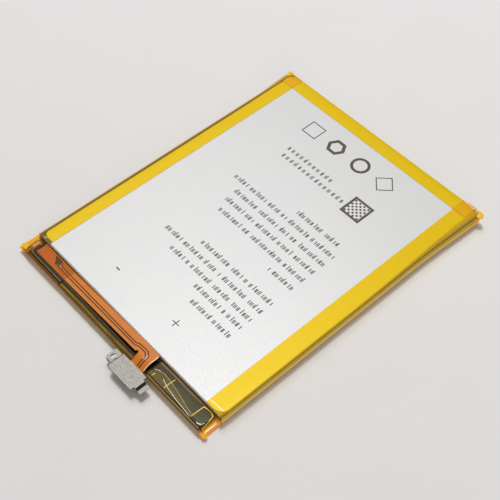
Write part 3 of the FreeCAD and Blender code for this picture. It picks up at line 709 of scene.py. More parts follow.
def left_profile(y):
    """(distance in from the pack's side, level) round the left tape at one y, from face to back."""
    flare = 0.32 + 0.55 * ease((y - 27.0) / 11.0) + 0.04 * ripple(y, 9.0, 0.4)
    turn_in = 0.80 - 0.10 * ease((y - 20.0) / 12.0) + 0.03 * ripple(y, 13.0, 1.4)
    low = TAPE_TOP - 0.25
    return [
        *lap_rows(LEFT_REACH, turn_in, LEFT_END, LEFT_CORNER, y), (LABEL_SIDE - 0.12, TAPE_TOP - 0.12),
        (0.22, low), (0.05, low - 0.05), (-flare * 0.75, low - 0.12), (-flare, low - 0.25),
        (-flare, low - 0.45), (-flare * 0.5, low - 0.8), (0.0, 1.2), (0.0, 0.5), (0.03, 0.25),
        (0.13, 0.05), (0.30, BACK_LEVEL), (LEFT_REACH * 0.5, BACK_LEVEL), (LEFT_REACH, BACK_LEVEL),
    ]


def right_profile(y):
    """(distance in from the pack's side, level) round the right tape at one y, from face to back."""
    turn_in = 0.02 + 0.75 * ease((y - 2.0) / 34.0) + 0.03 * ripple(y, 13.0, 2.1)
    bulge = 0.20 + 0.03 * ripple(y, 9.0, 3.1) + 0.78 * max(0.0, (y - 18.0) / 20.7) ** 1.5
    lap = lap_rows(RIGHT_REACH, turn_in, RIGHT_END, RIGHT_CORNER, y)
    shoulder = lap[-1][0]
    return [
        *lap, (blend(shoulder, -bulge, 0.5), TAPE_TOP - 0.2),
        (blend(shoulder, -bulge, 0.9), TAPE_TOP - 0.5),
        (-bulge, TAPE_TOP - 0.8), (-bulge, SEAM_LEVEL + 0.14), (0.09 - bulge, SEAM_LEVEL),
        (0.01 - bulge, SEAM_LEVEL - 0.12), (-bulge, SEAM_LEVEL - 0.5), (0.05 - bulge, 0.6),
        (0.12 - bulge, 0.22), (0.06, 0.05), (0.28, BACK_LEVEL), (RIGHT_REACH * 0.5, BACK_LEVEL),
        (RIGHT_REACH, BACK_LEVEL),
    ]


def side_bands(film):
    """Colour of the film by level over the face, shoulder, cup's wall and folded seal, with painted
    shade and light.
    """
    return ("Z", (
        # The dark lines on the shoulder, at the seam and near the floor are painted shade; the shades
        # above 1 brighten the wall the lamps leave dark, as painted light
        (BACK_LEVEL - 0.1, (0.60, 0.26, 0.03)), (0.04, (0.34, 0.17, 0.03)), (0.18, (1.15, 0.80, 0.26)),
        (SEAM_LEVEL - 0.16, (1.05, 0.74, 0.18)), (SEAM_LEVEL - 0.06, (0.34, 0.23, 0.04)),
        (SEAM_LEVEL + 0.03, (0.36, 0.24, 0.04)), (SEAM_LEVEL + 0.12, (0.92, 0.60, 0.05)),
        (TAPE_TOP - 0.60, (0.80, 0.53, 0.05)), (TAPE_TOP - 0.48, (0.27, 0.175, 0.03)),
        (TAPE_TOP - 0.38, (0.38, 0.25, 0.03)), (TAPE_TOP - 0.14, (0.64, 0.43, 0.06)),
        (TAPE_TOP - 0.046, (0.68, 0.46, 0.01)), (TAPE_TOP - 0.038, tuple(film.laid)),
        (FAR_TOP + 0.1, tuple(film.laid)),
    ))


def left_bands(film):
    """Colour of the left film by level: a dark shoulder of painted shade, with an amber skirt outside
    it.
    """
    return ("Z", (
        (BACK_LEVEL - 0.1, (0.50, 0.24, 0.03)), (TAPE_TOP - 0.45, (0.85, 0.52, 0.06)),
        (TAPE_TOP - 0.31, (0.66, 0.40, 0.06)), (TAPE_TOP - 0.25, (0.18, 0.13, 0.055)),
        (TAPE_TOP - 0.046, (0.17, 0.12, 0.05)), (TAPE_TOP - 0.038, tuple(film.laid)),
        (FAR_TOP + 0.1, tuple(film.laid)),
    ))


class BATTERY_OT_side_tapes(bpy.types.Operator):
    """Lay the film tapes round the two long sides"""

    bl_idname = "battery.side_tapes"
    bl_label = "Side tapes"

    def execute(self, context):
        film = context.scene.battery_film
        places = stations(*SIDE_RUNS)
        finish = film_finish("laid_tape_left", film, left_bands(film), **LAID)
        rows = [[(inward - PACK_SIDE, y, level) for inward, level in left_profile(y)] for y in places]
        piece = sheet("side_film_left", rows[::-1], film.thickness, finish)
        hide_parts("side_tape_left")
        finish = film_finish("laid_tape_right", film, side_bands(film), bands=WARM_END, **LAID)
        rows = [[(PACK_SIDE - inward, y, level) for inward, level in right_profile(y)] for y in places]
        piece = sheet("side_film_right", rows, film.thickness, finish)
        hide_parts("side_tape_right")
        return {"FINISHED"}


# Finishes of the strips laid on the films: name, colour, roughness, spread, specular. All but the two
# laps are painted light: pale highlights, and dark shadows and shade
STRIP_FINISHES = (
    ("crease_shine", (0.93, 0.86, 0.76), 0.25, 0.03, 0.5),
    ("crease_brown", (0.15, 0.105, 0.05), 0.6, 0.12, 0.2),
    ("crease_light", (0.42, 0.29, 0.11), 0.4, 0.2, 0.5),
    ("crease_hollow", (0.055, 0.040, 0.024), 0.7, 0.12, 0.1),
    ("lap_brown", (0.23, 0.145, 0.062), 0.45, 0.25, 0.25),
    ("lap_amber", (0.26, 0.145, 0.016), 0.55, 0.25, 0.1),
    ("lap_shadow", (0.040, 0.026, 0.012), 0.6, 0.12, 0.1),
)
# Strips on the films, most of them painted highlights, shadows and glow at creases and folds, a few of
# them laps of film: name, finish, width, thickness, lift off the film, and paths
END_STRIPS = (
    # painted highlights along the far edge and over the pinched fin
    ("end_shine", "crease_shine", 0.13, 0.01, 0.01, (
        ((25.2, PACK_FAR - 0.12), (27.0, PACK_FAR - 0.2), (PACK_SIDE - 0.7, PACK_FAR - 0.5)),
        ((PACK_SIDE - 1.4, PACK_FAR - 0.1), (PACK_SIDE - 0.1, PACK_FAR - 0.3),
         (PACK_SIDE + 0.8, PACK_FAR - 0.45)),
    )),
    # painted shadow along the left shoulder and in the far right corner
    ("end_shadow", "crease_brown", 0.30, 0.01, 0.01, (
        ((0.45 - PACK_SIDE, PACK_FAR - FAR_REACH + 0.05), (0.40 - PACK_SIDE, PACK_FAR - 1.7),
         (0.75 - PACK_SIDE, PACK_FAR - 0.85), (1.5 - PACK_SIDE, PACK_FAR - 0.5)),
        ((PACK_SIDE - 1.0, PACK_FAR - 0.42), (PACK_SIDE - 0.55, PACK_FAR - 0.75),
         (PACK_SIDE - 0.35, PACK_FAR - 1.5), (PACK_SIDE - 0.28, PACK_FAR - 2.4)),
    )),
)
# Outline of the pinched fin along the far edge: x from the pack's side, inner and outer edge from its
# far end, and level
FIN_OUTLINE = (
    (-4.0, -0.20, 0.12, 3.02), (-2.6, -0.40, 0.38, 3.00), (-0.5, -0.80, 0.24, 2.92),
    (0.2, -1.10, 0.36, 2.86), (0.8, -1.25, 0.48, 2.80), (1.35, -1.15, 0.20, 2.72),
    (1.72, -0.70, -0.40, 2.66),
)
FIN_PARTS = 4               # rows to each place of the fin's outline
FIN_CROWN = 0.10
FOLD_COLUMNS = 6            # across the fin, and across the film folded over the board
END_EDGE = PACK_SIDE + 0.1  # where the far tape ends past the pack's sides
END_RUNS = ((-END_EDGE, 1.2 - PACK_SIDE, 0.1), (1.8 - PACK_SIDE, PACK_SIDE - 1.8, 0.8),
            (PACK_SIDE - 1.2, END_EDGE, 0.1))
END_ROUNDS = ((0.75, 0.55), (1.25, 1.3))    # reach and depth of its round-off, at the left and right
ROUND_BASE = 1.5            # level down to which it rounds off
TAIL_ROWS = 8
TAIL_COLUMNS = 6
TAIL_CROWN = 0.16


def add_strips(rows, level):
    """Strips that lie on a film, each from its row of sizes."""
    for name, finish, width, thickness, lift, paths in rows:
        strips(name, paths, width, thickness, finish_of(finish), level, lift)


def end_profile(x):
    """(distance in from the pack's far end, level) round the far tape at one x."""
    doubled = max(ease((LEFT_HIGH.x + 0.3 - x) / 0.3), ease((x - RIGHT_LOW.x + 0.3) / 0.3))
    top = blend(TAPE_TOP, FAR_TOP, doubled)
    swell = 0.02 * ripple(x, 8.0, 0.9)
    flare = 0.42 * ease((x - 23.5) / 4.0)
    return [
        (FAR_REACH, top), (FAR_REACH * 0.5, top), (0.36, top), (0.20, top - 0.02),
        (0.08 - flare * 0.2, top - 0.08), (0.01 - flare * 0.7, top - 0.2),
        (swell - 0.02 - flare, top - 0.45), (swell - 0.03 - flare * 0.8, 2.0), (-0.02, 1.2),
        (swell - 0.01, 0.5), (-0.02, 0.08), (0.10, BACK_LEVEL + 0.01), (0.3, BACK_LEVEL),
        (FAR_REACH * 0.5, BACK_LEVEL), (FAR_REACH, BACK_LEVEL),
    ]


def end_rows():
    """Rows of the far tape from left to right, rounded off at its corners."""
    rows = []
    for x in stations(*END_RUNS):
        reach, depth = END_ROUNDS[x > 0]
        past = 1 - min((END_EDGE - abs(x)) / reach, 1.0)
        drop = depth * (1 - math.sqrt(max(0.0, 1 - past ** 2)))
        row = []
        for inward, level in end_profile(x):
            if level > ROUND_BASE:
                level -= drop * (level - ROUND_BASE) / (FAR_TOP - ROUND_BASE)
            row.append((x, PACK_FAR - inward - 0.7 * drop * (1 - ease(inward / FAR_REACH)), level))
        rows.append(row)
    return rows


def filled(outline, parts):
    """The places of an outline, each followed by others in equal parts of the way to the next."""
    return [[blend(a, b, part / parts) for a, b in zip(start, end)]
            for start, end in zip(outline, outline[1:]) for part in range(parts)]


def crowned(x, start, end, level, crown):
    """A row of points across a folded film, from one y to another, with its middle raised."""
    shares = [column / FOLD_COLUMNS for column in range(FOLD_COLUMNS + 1)]
    return [(x, blend(start, end, share), level + crown * math.sin(math.pi * share)) for share in shares]


def add_tail(name, root, out, sizes, film, finish):
    """A pinched tail of film with a rounded tip, of a length, width and droop, out from its root."""
    x, y, level = root
    out_x, out_y = out
    length, width, droop = sizes
    rows = []
    for i in range(TAIL_ROWS + 1):
        along = i / TAIL_ROWS
        half = width / 2 * math.sqrt(max(0.02, 1 - along ** 3))
        row = []
        for j in range(TAIL_COLUMNS + 1):
            across = j / TAIL_COLUMNS - 0.5
            crown = TAIL_CROWN * math.cos(across * math.pi) * (1 - along)
            row.append((x + out_x * length * along - out_y * across * 2 * half,
                        y + out_y * length * along + out_x * across * 2 * half,
                        level - droop * along * along + crown))
        rows.append(row)
    return sheet(name, rows, film.thickness * 2, finish)


class BATTERY_OT_end_tape(bpy.types.Operator):
    """Lay the film tape over the far end, with its pinched corners"""

    bl_idname = "battery.end_tape"
    bl_label = "Far end tape"

    def execute(self, context):
        film = context.scene.battery_film
        deeper = tuple(double / single for double, single in zip(film.doubled, film.laid))
        left, right = LEFT_HIGH.x, RIGHT_LOW.x
        lap = ((-PACK_SIDE, deeper), (left - 0.05, deeper), (left, 1.0), (right, 1.0),
               (right + 0.05, deeper), (PACK_SIDE, deeper))
        finish = film_finish("end_tape", film, side_bands(film), bands=("X", lap), **LAID)
        piece = sheet("end_film", end_rows()[::-1], film.thickness, finish)
        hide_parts("far_end_tape")
        pinched = film_finish("pinched_film", film, film.glow, 0.9, gloss=0.012,
                              veil=(0.03, (1.0, 0.85, 0.4)))
        slant = math.sqrt(0.5)
        add_tail("end_tail_left", (0.4 - PACK_SIDE, PACK_FAR - 0.9, 2.9), (-slant, slant),
                 (1.7, 1.5, 0.1), film, pinched)
        rows = [crowned(PACK_SIDE + x, PACK_FAR + outer, PACK_FAR + inner, level, FIN_CROWN)
                for x, inner, outer, level in (*filled(FIN_OUTLINE, FIN_PARTS), FIN_OUTLINE[-1])]
        fin = sheet("end_tail_right", rows, film.thickness * 2, pinched)
        for name, colour, roughness, spread, specular in STRIP_FINISHES:
            plain_finish(name, colour, roughness, 0.3, 0.004, spread=spread, specular=specular)
        add_strips(END_STRIPS, top_of(piece, fin))
        self.add_seams(left - 0.02, right + 0.02)
        return {"FINISHED"}

    def add_seams(self, left, right):
        """The cut edges of the far tape and of the side tapes under it."""
        seam = plain_finish("tape_cut_edge", (0.58, 0.33, 0.03), 0.5, 0.2, 0.002)
        edge = PACK_FAR - FAR_REACH + 0.04
        level = FAR_TOP + 0.004
        strips("tape_seams", (
            ((0.9 - PACK_SIDE, edge), (left, edge)), ((right, edge), (PACK_SIDE - 1.0, edge)),
            ((left, edge + 0.1), (left, PACK_FAR - 0.5)), ((right, edge + 0.1), (right, PACK_FAR - 0.5)),
        ), 0.09, 0.006, seam, lambda x, y: level)


# The near film at each side: level over the board, level of the flat edge beyond it, and how far the
# film takes to come down
RIGHT_DRAPE = (BOARD_TOP + 0.06, 1.0, 0.35)
LEFT_DRAPE = (FLEX_LOW.z + 0.205, 1.35, 1.5)
RIGHT_DRAPE_TINT = (0.84, 0.80, 0.52)
LEFT_DRAPE_TINT = (0.93, 0.81, 0.40)
# Colour of the near film towards the pack's sides: warmer past the board's ends and brighter towards the
# sides, as painted glow of light coming through the film
RIGHT_DRAPE_ENDS = ("X", ((ANCHOR_END, 1.0), (BOARD_HIGH.x, 1.0),
                          (BOARD_HIGH.x + 0.6, (1.7, 1.15, 0.5)), (PACK_SIDE + 1, (1.7, 1.15, 0.5))))
LEFT_DRAPE_ENDS = ("X", ((-PACK_SIDE - 1.5, (1.7, 1.5, 0.3)), (-PACK_SIDE - 0.3, (1.5, 1.2, 0.3)),
                         (-PACK_SIDE + 0.3, (0.80, 0.62, 0.4)), (BOARD_LOW.x - 0.4, (0.85, 0.62, 0.4)),
                         (BOARD_LOW.x, 1.0), (ANCHOR_END, 1.0)))
# Inner edge of the film that is folded over across the board
FOLD_EDGE = (
    (12.1, -37.3), (12.6, -36.35), (14.5, -35.85), (16.8, -36.05), (19.3, -36.5), (22.0, -37.1),
    (24.45, -37.6), (25.2, -38.0),
)
FOLD_PARTS = 6              # rows to each place of that edge
FOLD_CROWN = 0.07
TERRACE_STEP = 0.3          # between rows of the near film
RIGHT_STRIPS = (
    # crease lines where the film doubles, coloured as painted glow
    ("glow_creases", "film_glow", 0.18, 0.01, 0.008, (
        ((16.85, -35.25), (16.75, -38.0)), ((24.9, -34.95), (24.75, -38.1)),
        ((24.9, -34.95), (25.7, -34.75), (26.9, -34.75), (27.6, -35.05), (27.8, -36.1), (28.0, -38.1)),
        ((13.2, -37.2), (13.1, -37.95)), ((28.45, -34.9), (28.4, -36.0), (28.6, -38.0)),
    )),
    # painted highlights on the fold and at the pillow's corner
    ("shine_creases", "crease_shine", 0.08, 0.01, 0.008, (
        ((15.3, -36.9), (17.2, -37.45), (20.0, -37.85), (23.0, -38.1), (24.6, -38.2)),
        ((12.5, -36.75), (12.9, -36.35), (13.5, -36.15)),
        ((27.58, -37.1), (27.4, -37.6), (26.95, -37.95), (26.3, -38.05)),
        ((27.5, -37.35), (27.3, -37.75), (26.9, -38.05), (26.5, -38.1)),
    )),
    # painted highlight along the fold's inner edge
    ("fold_edge", "crease_light", 0.10, 0.01, 0.008, (
        ((12.7, -36.45), (14.5, -35.95), (16.8, -36.15), (19.3, -36.6), (22.0, -37.2), (24.4, -37.68)),
    )),
    # painted highlights on the riser and along the near shoulder
    ("riser_creases", "crease_light", 0.10, 0.01, 0.018, (
        ((12.2, -34.56), (18.5, -34.50), (24.3, -34.56)),
        ((12.4, -38.5), (20.0, -38.55), (27.5, -38.55)),
    )),
    ("riser_lap", "lap_brown", 0.34, 0.008, 0.008, (
        ((12.1, -34.86), (16.0, -34.78), (21.0, -34.84), (25.2, -34.72), (28.0, -34.66)),
    )),
    ("edge_lap", "lap_amber", 0.42, 0.008, 0.008, (
        ((ANCHOR_END + 0.2, -38.3), (-9.0, -38.24), (-3.0, -38.32), (7.5, -38.28)),
    )),
    # painted shadow under the board's near edge and beside the flex circuit
    ("edge_shadow", "lap_shadow", 0.17, 0.008, 0.010, (
        ((12.6, -38.3), (18.0, -38.34), (24.0, -38.3), (28.2, -38.36)),
        ((ANCHOR_END + 0.1, -37.75), (-9.0, -37.7), (-3.0, -37.76), (7.5, -37.7)),
    )),
    # painted highlight down the near right corner
    ("corner_shine", "crease_shine", 0.14, 0.01, 0.01, (
        ((28.88, -34.5), (28.72, -35.4), (28.68, -36.4), (28.7, -38.0)),
    )),
)
FACE_STRIPS = (
    # painted highlight across the right tape's near end
    ("end_crease", "crease_shine", 0.13, 0.01, 0.004, (
        ((25.0, -33.45), (27.0, -33.33), (28.6, -33.2)),
    )),
)
LEFT_STRIPS = (
    # painted shade in the hollow round the flex circuit's end
    ("hollow_shadow", "crease_hollow", 0.32, 0.02, 0.03, (
        ((-16.5, -37.55), (-25.8, -37.45), (-26.75, -37.1), (-26.6, -35.1)),
    )),
    # painted shadow on the film at the left corner's folds
    ("corner_folds", "crease_brown", 0.24, 0.01, 0.01, (
        ((-28.5, -34.7), (-28.9, -35.3), (-28.8, -36.4), (-28.5, -37.3)),
        ((-27.5, -34.6), (-27.9, -34.7), (-28.4, -34.6)),
    )),
    ("end_lap", "lap_brown", 0.16, 0.008, 0.012, (
        ((ANCHOR_END - 0.2, -38.05), (-22.0, -38.0), (-26.4, -38.05), (-27.2, -37.6), (-27.25, -35.2)),
    )),
    # painted glow where light comes through the film at the corner
    ("corner_glow", "film_ember", 0.42, 0.01, 0.01, (
        ((-28.1, -34.9), (-28.0, -36.9)), ((-28.5, -35.0), (-28.45, -36.7)),
    )),
)


def terrace_profile(x, drape):
    """(y, level) of the film over the terrace at one x, from the cup's wall to the back."""
    over_board, beyond_board, fall = drape
    beyond = max(BOARD_LOW.x - 0.3 - x, x - BOARD_HIGH.x - 0.1, 0.0)
    sag = ease(beyond / fall)
    level = blend(over_board, beyond_board, sag) + 0.012 * ripple(x, 2.3, 0.3)
    inner = BOARD_HIGH.y
    edge = BOARD_LOW.y - 0.08 + 0.03 * ripple(x, 5.0, 1.2)
    wall = PACK_NEAR + 0.03 + 0.02 * ripple(x, 6.0, 0.5)
    high = blend(1.0, 0.5, sag)
    return [
        (CUP_NEAR - 0.02, CUP_TOP), (CUP_NEAR - 0.05, blend(2.6, 2.3, sag)),
        (CUP_NEAR - 0.12, blend(2.05, 1.5, sag)), (CUP_NEAR - 0.28, level - blend(0.28, 0.05, sag)),
        (inner + 0.05, level - 0.02), (inner - 0.12, level), (blend(inner, edge, 0.33), level),
        (blend(inner, edge, 0.66), level), (edge + 0.12, level), (edge, level - 0.03),
        (blend(edge, wall, 0.6), level - 0.14 * high), (blend(edge, wall, 0.93), level - 0.26 * high),
        (wall, level - 0.42 * high), (wall + 0.04, blend(1.45, 0.75, sag)),
        (wall + 0.36, blend(1.0, 0.55, sag)), (wall + 0.70, 0.42), (wall + 1.02, 0.0),
        (wall + 1.08, BACK_LEVEL), (wall + 1.35, BACK_LEVEL), (CUP_NEAR - 2, BACK_LEVEL),
        (CUP_NEAR + 0.85, BACK_LEVEL),
    ]


def draped_finish(name, film, drape, tint, ends):
    """Film that hangs over the board: clear over it, hazier on the cup's wall and down the near side,
    and near white at the cup's top as painted light.
    """
    level = drape[0]
    haze = ((BACK_LEVEL, 0.75), (BOARD_LOW.z - 0.2, 0.75), (level - 0.14, 0.35), (level - 0.05, 0.02),
            (level + 0.07, 0.02), (level + 0.16, 0.5), (level + 0.4, 0.8), (CUP_TOP, 0.9))
    body = ("Z", ((BACK_LEVEL, (1.0, 0.50, 0.06)), (BOARD_LOW.z - 0.7, (0.90, 0.56, 0.13)),
                  (BOARD_LOW.z + 0.1, (0.56, 0.34, 0.08)), (level - 0.05, (0.26, 0.13, 0.03)),
                  (level + 0.10, (0.22, 0.12, 0.03)), (level + 0.35, (0.50, 0.30, 0.10)),
                  (level + 0.5, (0.34, 0.20, 0.07)), (CUP_TOP - 0.25, (0.55, 0.40, 0.25)),
                  (CUP_TOP, (1.0, 0.95, 0.88))))
    return film_finish(name, film, body, haze, gloss=0.004, bands=ends, veil=(0.006, (0.96, 0.98, 1.0)),
                       tint=tint)


def wrap_rows(start, end, drape, middle, closing):
    """Rows of a terrace film from its cut edge, and on through closing steps of (x, squeeze)."""
    rows = [[(x, y, level) for y, level in terrace_profile(x, drape)]
            for x in stations((start, end, TERRACE_STEP))]
    last = rows[-1]
    for x, squeeze in closing:
        rows.append([(x, y, middle + (level - middle) * squeeze) for _, y, level in last])
    return rows


class BATTERY_OT_terrace_films(bpy.types.Operator):
    """Drape the film over the board, the short film over the flex circuit's end and their folds"""

    bl_idname = "battery.terrace_films"
    bl_label = "Terrace films"

    def execute(self, context):
        film = context.scene.battery_film
        pinched = finish_of("pinched_film")
        side = PACK_SIDE
        rows = wrap_rows(ANCHOR_END + 0.05, side - 0.3, RIGHT_DRAPE, BACK_LEVEL,
                         ((side - 0.12, 0.85), (side - 0.05, 0.5), (side - 0.04, 0.06)))
        finish = draped_finish("draped_film", film, RIGHT_DRAPE, RIGHT_DRAPE_TINT, RIGHT_DRAPE_ENDS)
        over_board = sheet("terrace_film", rows, film.thickness, finish)
        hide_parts("terrace_tape")
        rows = wrap_rows(ANCHOR_END, -side + 0.05, LEFT_DRAPE, LEFT_DRAPE[1] - 0.15,
                         ((-side - 0.15, 0.5), (-side - 0.5, 0.14), (ANCHOR_LOW.x + 0.1, 0.08)))
        finish = draped_finish("anchor_drape", film, LEFT_DRAPE, LEFT_DRAPE_TINT, LEFT_DRAPE_ENDS)
        over_flex = sheet("anchor_film", rows[::-1], film.thickness, finish)
        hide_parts("flex_anchor_tape")
        add_tail("near_tail_left", (-side + 0.3, PACK_NEAR + 1.3, 1.45), (-0.97, -0.24),
                 (1.75, 1.4, 0.1), film, pinched)
        add_tail("near_tail_right", (side - 0.3, PACK_NEAR + 0.7, 1.0), (0.9, -0.43),
                 (0.9, 1.1, 0.3), film, pinched)
        fold = self.add_fold(film)
        # Painted glow: bright amber for the crease lines and the corners, where light comes through the
        # film
        film_finish("film_glow", film, (1.0, 0.68, 0.02), 0.92, veil=(0.01, (1.0, 0.8, 0.2)))
        film_finish("film_ember", film, (0.95, 0.30, 0.01), 0.9, veil=(0.01, (1.0, 0.8, 0.2)))
        add_strips(RIGHT_STRIPS, top_of(over_board, fold))
        add_strips(FACE_STRIPS, lambda x, y: TAPE_TOP)
        add_strips(LEFT_STRIPS, top_of(over_flex, over_board))
        return {"FINISHED"}

    def add_fold(self, film):
        """The double film that lies folded over across the board."""
        folded = film_finish("folded_film", film, film.fold, 0.75, gloss=0.006,
                             veil=(0.006, (1.0, 0.97, 0.85)))
        rows = [crowned(x, BOARD_LOW.y + 0.1, inner, BOARD_TOP + 0.075, FOLD_CROWN)
                for x, inner in filled(FOLD_EDGE, FOLD_PARTS)]
        return sheet("film_fold", rows[::-1], film.thickness, folded)


# Paths of the flex circuit's etched gaps, and of painted highlights along its right edge and on its
# traces
GAP_PATHS = (
    ((-20.05, -35.07), (-19.25, -35.59), (6.0, -36.0), (6.6, -35.58), (9.25, -35.54), (10.15, -36.35),
     (10.3, -38.95)),
    ((-21.15, -36.19), (6.2, -36.5), (6.8, -36.12), (9.0, -36.10), (9.6, -36.70), (9.75, -38.95)),
)
PATCH = ((-21.1, -36.15), (-19.9, -35.85), (-20.3, -34.75), (-22.6, -34.75))
GAP_THICKNESS = 0.008
RIM_EDGE = 11.46            # just inside the neck's right edge
RIM_HIGHLIGHT_PATH = ((RIM_EDGE - 0.12, -34.85), (RIM_EDGE, -35.2), (RIM_EDGE, -36.9), (RIM_EDGE, -38.6))
TRACE_HIGHLIGHT_PATHS = (((9.75, -36.15), (10.0, -36.6), (10.05, -37.2)), ((9.5, -36.8), (9.6, -37.3)))


class BATTERY_OT_flex(bpy.types.Operator):
    """Finish the flex circuit, etch the gaps beside its sense trace and lay painted highlights on it"""

    bl_idname = "battery.flex"
    bl_label = "Flex circuit"

    def execute(self, context):
        flex = context.scene.battery_flex
        copper = plain_finish("flex_copper", flex.copper, 0.42, 0.25, 0.004, spread=0.05, specular=0.18)
        etched = plain_finish("flex_gap", flex.gap, 0.6, 0.1, 0.002, spread=0.2, specular=0.2)
        rim_light = plain_finish("flex_rim", (0.92, 0.80, 0.70), 0.25, 0.2, 0.003, spread=0.04)
        wear("flex_circuit", copper)
        round_edges("flex_circuit", 0.02 * MM)
        top = top_of(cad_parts["flex_circuit"])
        strips("etched_gaps", GAP_PATHS, flex.gap_width / MM, GAP_THICKNESS, etched, top)
        level = top(-21.0, -35.5)
        join_mesh("etched_patch", [prism(PATCH, level, level + GAP_THICKNESS)], etched)
        # painted highlights along the neck's right edge and on the traces at the bend
        strips("flex_rim_shine", (RIM_HIGHLIGHT_PATH,), 0.14, 0.01, rim_light, top)
        strips("trace_shine", TRACE_HIGHLIGHT_PATHS, 0.10, 0.014, rim_light, top)
        return {"FINISHED"}


HOOK_BEND = PLATE_HIGH.x - 1.45     # where the hook turns down
HOOK_SHADE = 0.16                   # of the steel in the bend's shadow


class BATTERY_OT_plate(bpy.types.Operator):
    """Finish the pressed connector plate"""

    bl_idname = "battery.plate"
    bl_label = "Connector plate"

    def execute(self, context):
        plate = context.scene.battery_plate
        shade = ("X", ((PLATE_LOW.x, 1.0), (HOOK_BEND, 1.0), (HOOK_BEND + 0.04, HOOK_SHADE),
                       (HOOK_BEND + 0.48, HOOK_SHADE), (HOOK_BEND + 0.56, 1.0), (PLATE_HIGH.x, 1.0)))
        steel = plain_finish("plate_steel", plate.steel, 0.6, 0.10, 0.001, metallic=1.0, spread=0.015,
                             stretch=(0.2, 1.0, 1.0), bands=shade)
        wear("connector_plate", steel)
        round_edges("connector_plate", plate.edge)
        return {"FINISHED"}


# Stage: angles in degrees
CAMERA_AZIMUTH = 47.674
CAMERA_ELEVATION = 52.665
CAMERA_ROLL = 0.254
CAMERA_DISTANCE = 207.553
CAMERA_TARGET = (3.944, -4.408, 3.14)
FLOOR_REACH = 1500.0
# Painted light on the floor: darker towards the near side, lighter towards the far side
FLOOR_PAINTED_LIGHT = ("Y", ((-160.0, 0.925), (0.0, 1.0), (160.0, 1.06)))
# Square lamps that face the battery: name, place, size and the property with their power
LAMPS = (
    ("overhead", (-235.0, 190.0, 1000.0), 220.0, "key_power"),
    ("side_soft", (-560.0, 340.0, 1000.0), 500.0, "side_power"),
    ("front_fill", (640.0, -560.0, 210.0), 400.0, "fill_power"),
)


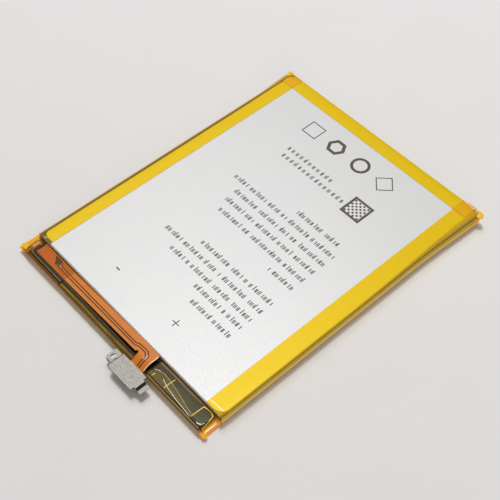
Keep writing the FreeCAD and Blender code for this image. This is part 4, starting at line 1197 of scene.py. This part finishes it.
class BATTERY_OT_stage(bpy.types.Operator):
    """Set the floor, the soft lamps, the world and the camera"""

    bl_idname = "battery.stage"
    bl_label = "Stage"

    def execute(self, context):
        stage = context.scene.battery_stage
        self.add_floor(stage)
        self.add_lamps(stage)
        self.add_camera(context, stage)
        context.scene.view_settings.view_transform = "Standard"
        return {"FINISHED"}

    def add_floor(self, stage):
        """A wide pale floor at the battery's rest plane, with a painted gradient of light along y."""
        corners = oblong(-FLOOR_REACH, FLOOR_REACH, -FLOOR_REACH, FLOOR_REACH)
        mesh = bpy.data.meshes.new("floor")
        mesh.from_pydata([tuple(at(x, y, BACK_LEVEL - 0.01)) for x, y in corners], [], [(0, 1, 2, 3)])
        floor = bpy.data.objects.new("floor", mesh)
        bpy.context.scene.collection.objects.link(floor)
        mesh.materials.append(plain_finish("floor_card", stage.floor, 0.7, 2.0, 0.01, spread=0.006,
                                           specular=0.2, bands=FLOOR_PAINTED_LIGHT))

    def add_lamps(self, stage):
        """An overhead lamp, soft lamps at the far left and the near right, and pale surroundings."""
        for name, place, size, power in LAMPS:
            lamp = bpy.data.lights.new(name, "AREA")
            lamp.size = size * MM
            lamp.energy = getattr(stage, power)
            holder = bpy.data.objects.new(name, lamp)
            holder.location = at(*place)
            holder.rotation_euler = (-holder.location).to_track_quat("-Z", "Y").to_euler()
            bpy.context.scene.collection.objects.link(holder)
        world = bpy.data.worlds.new("studio")
        world.use_nodes = True
        bpy.context.scene.world = world
        back = world.node_tree.nodes["Background"]
        back.inputs["Color"].default_value = (1.0, 0.99, 0.98, 1)
        back.inputs["Strength"].default_value = stage.sky

    def add_camera(self, context, stage):
        """A camera at the photograph's viewing angle."""
        azimuth, elevation, roll = map(math.radians, (CAMERA_AZIMUTH, CAMERA_ELEVATION, CAMERA_ROLL))
        back = Vector((math.sin(azimuth) * math.cos(elevation), -math.cos(azimuth) * math.cos(elevation),
                       math.sin(elevation)))
        camera = bpy.data.cameras.new("camera")
        camera.sensor_width = 36.0
        camera.lens = stage.lens
        camera.clip_start = 0.005
        camera.clip_end = 20.0
        holder = bpy.data.objects.new("camera", camera)
        holder.location = at(*CAMERA_TARGET) + back * CAMERA_DISTANCE * MM
        holder.rotation_euler = back.to_track_quat("Z", "Y").to_euler()
        holder.rotation_euler.rotate_axis("Z", roll)
        bpy.context.scene.collection.objects.link(holder)
        context.scene.camera = holder


GROUPS = (
    ("battery_film", BatteryFilm), ("battery_label", BatteryLabel), ("battery_flex", BatteryFlex),
    ("battery_plate", BatteryPlate), ("battery_stage", BatteryStage),
)
STEPS = (
    BATTERY_OT_core, BATTERY_OT_label, BATTERY_OT_side_tapes, BATTERY_OT_end_tape,
    BATTERY_OT_terrace_films, BATTERY_OT_flex, BATTERY_OT_plate, BATTERY_OT_stage,
)


class BATTERY_PT_panel(bpy.types.Panel):
    """The battery's settings and steps"""

    bl_idname = "BATTERY_PT_panel"
    bl_label = "Phone battery"
    bl_space_type = "VIEW_3D"
    bl_region_type = "UI"
    bl_category = "Battery"

    def draw(self, context):
        for attribute, group in GROUPS:
            box = self.layout.box()
            box.label(text=group.__name__)
            for prop in group.__annotations__:
                box.prop(getattr(context.scene, attribute), prop)
        for step in STEPS:
            self.layout.operator(step.bl_idname)


def register():
    """Registers the settings, the steps and the panel."""
    for attribute, group in GROUPS:
        bpy.utils.register_class(group)
        setattr(bpy.types.Scene, attribute, PointerProperty(type=group))
    for step in STEPS:
        bpy.utils.register_class(step)
    bpy.utils.register_class(BATTERY_PT_panel)


def unregister():
    """Takes out the panel, the steps and the settings."""
    bpy.utils.unregister_class(BATTERY_PT_panel)
    for step in reversed(STEPS):
        bpy.utils.unregister_class(step)
    for attribute, group in reversed(GROUPS):
        delattr(bpy.types.Scene, attribute)
        bpy.utils.unregister_class(group)


def main():
    """Dresses the frame step by step."""
    register()
    bpy.ops.battery.core()
    bpy.ops.battery.label()
    bpy.ops.battery.side_tapes()
    bpy.ops.battery.end_tape()
    bpy.ops.battery.terrace_films()
    bpy.ops.battery.flex()
    bpy.ops.battery.plate()
    bpy.ops.battery.stage()


if __name__ == "__main__":
    main()
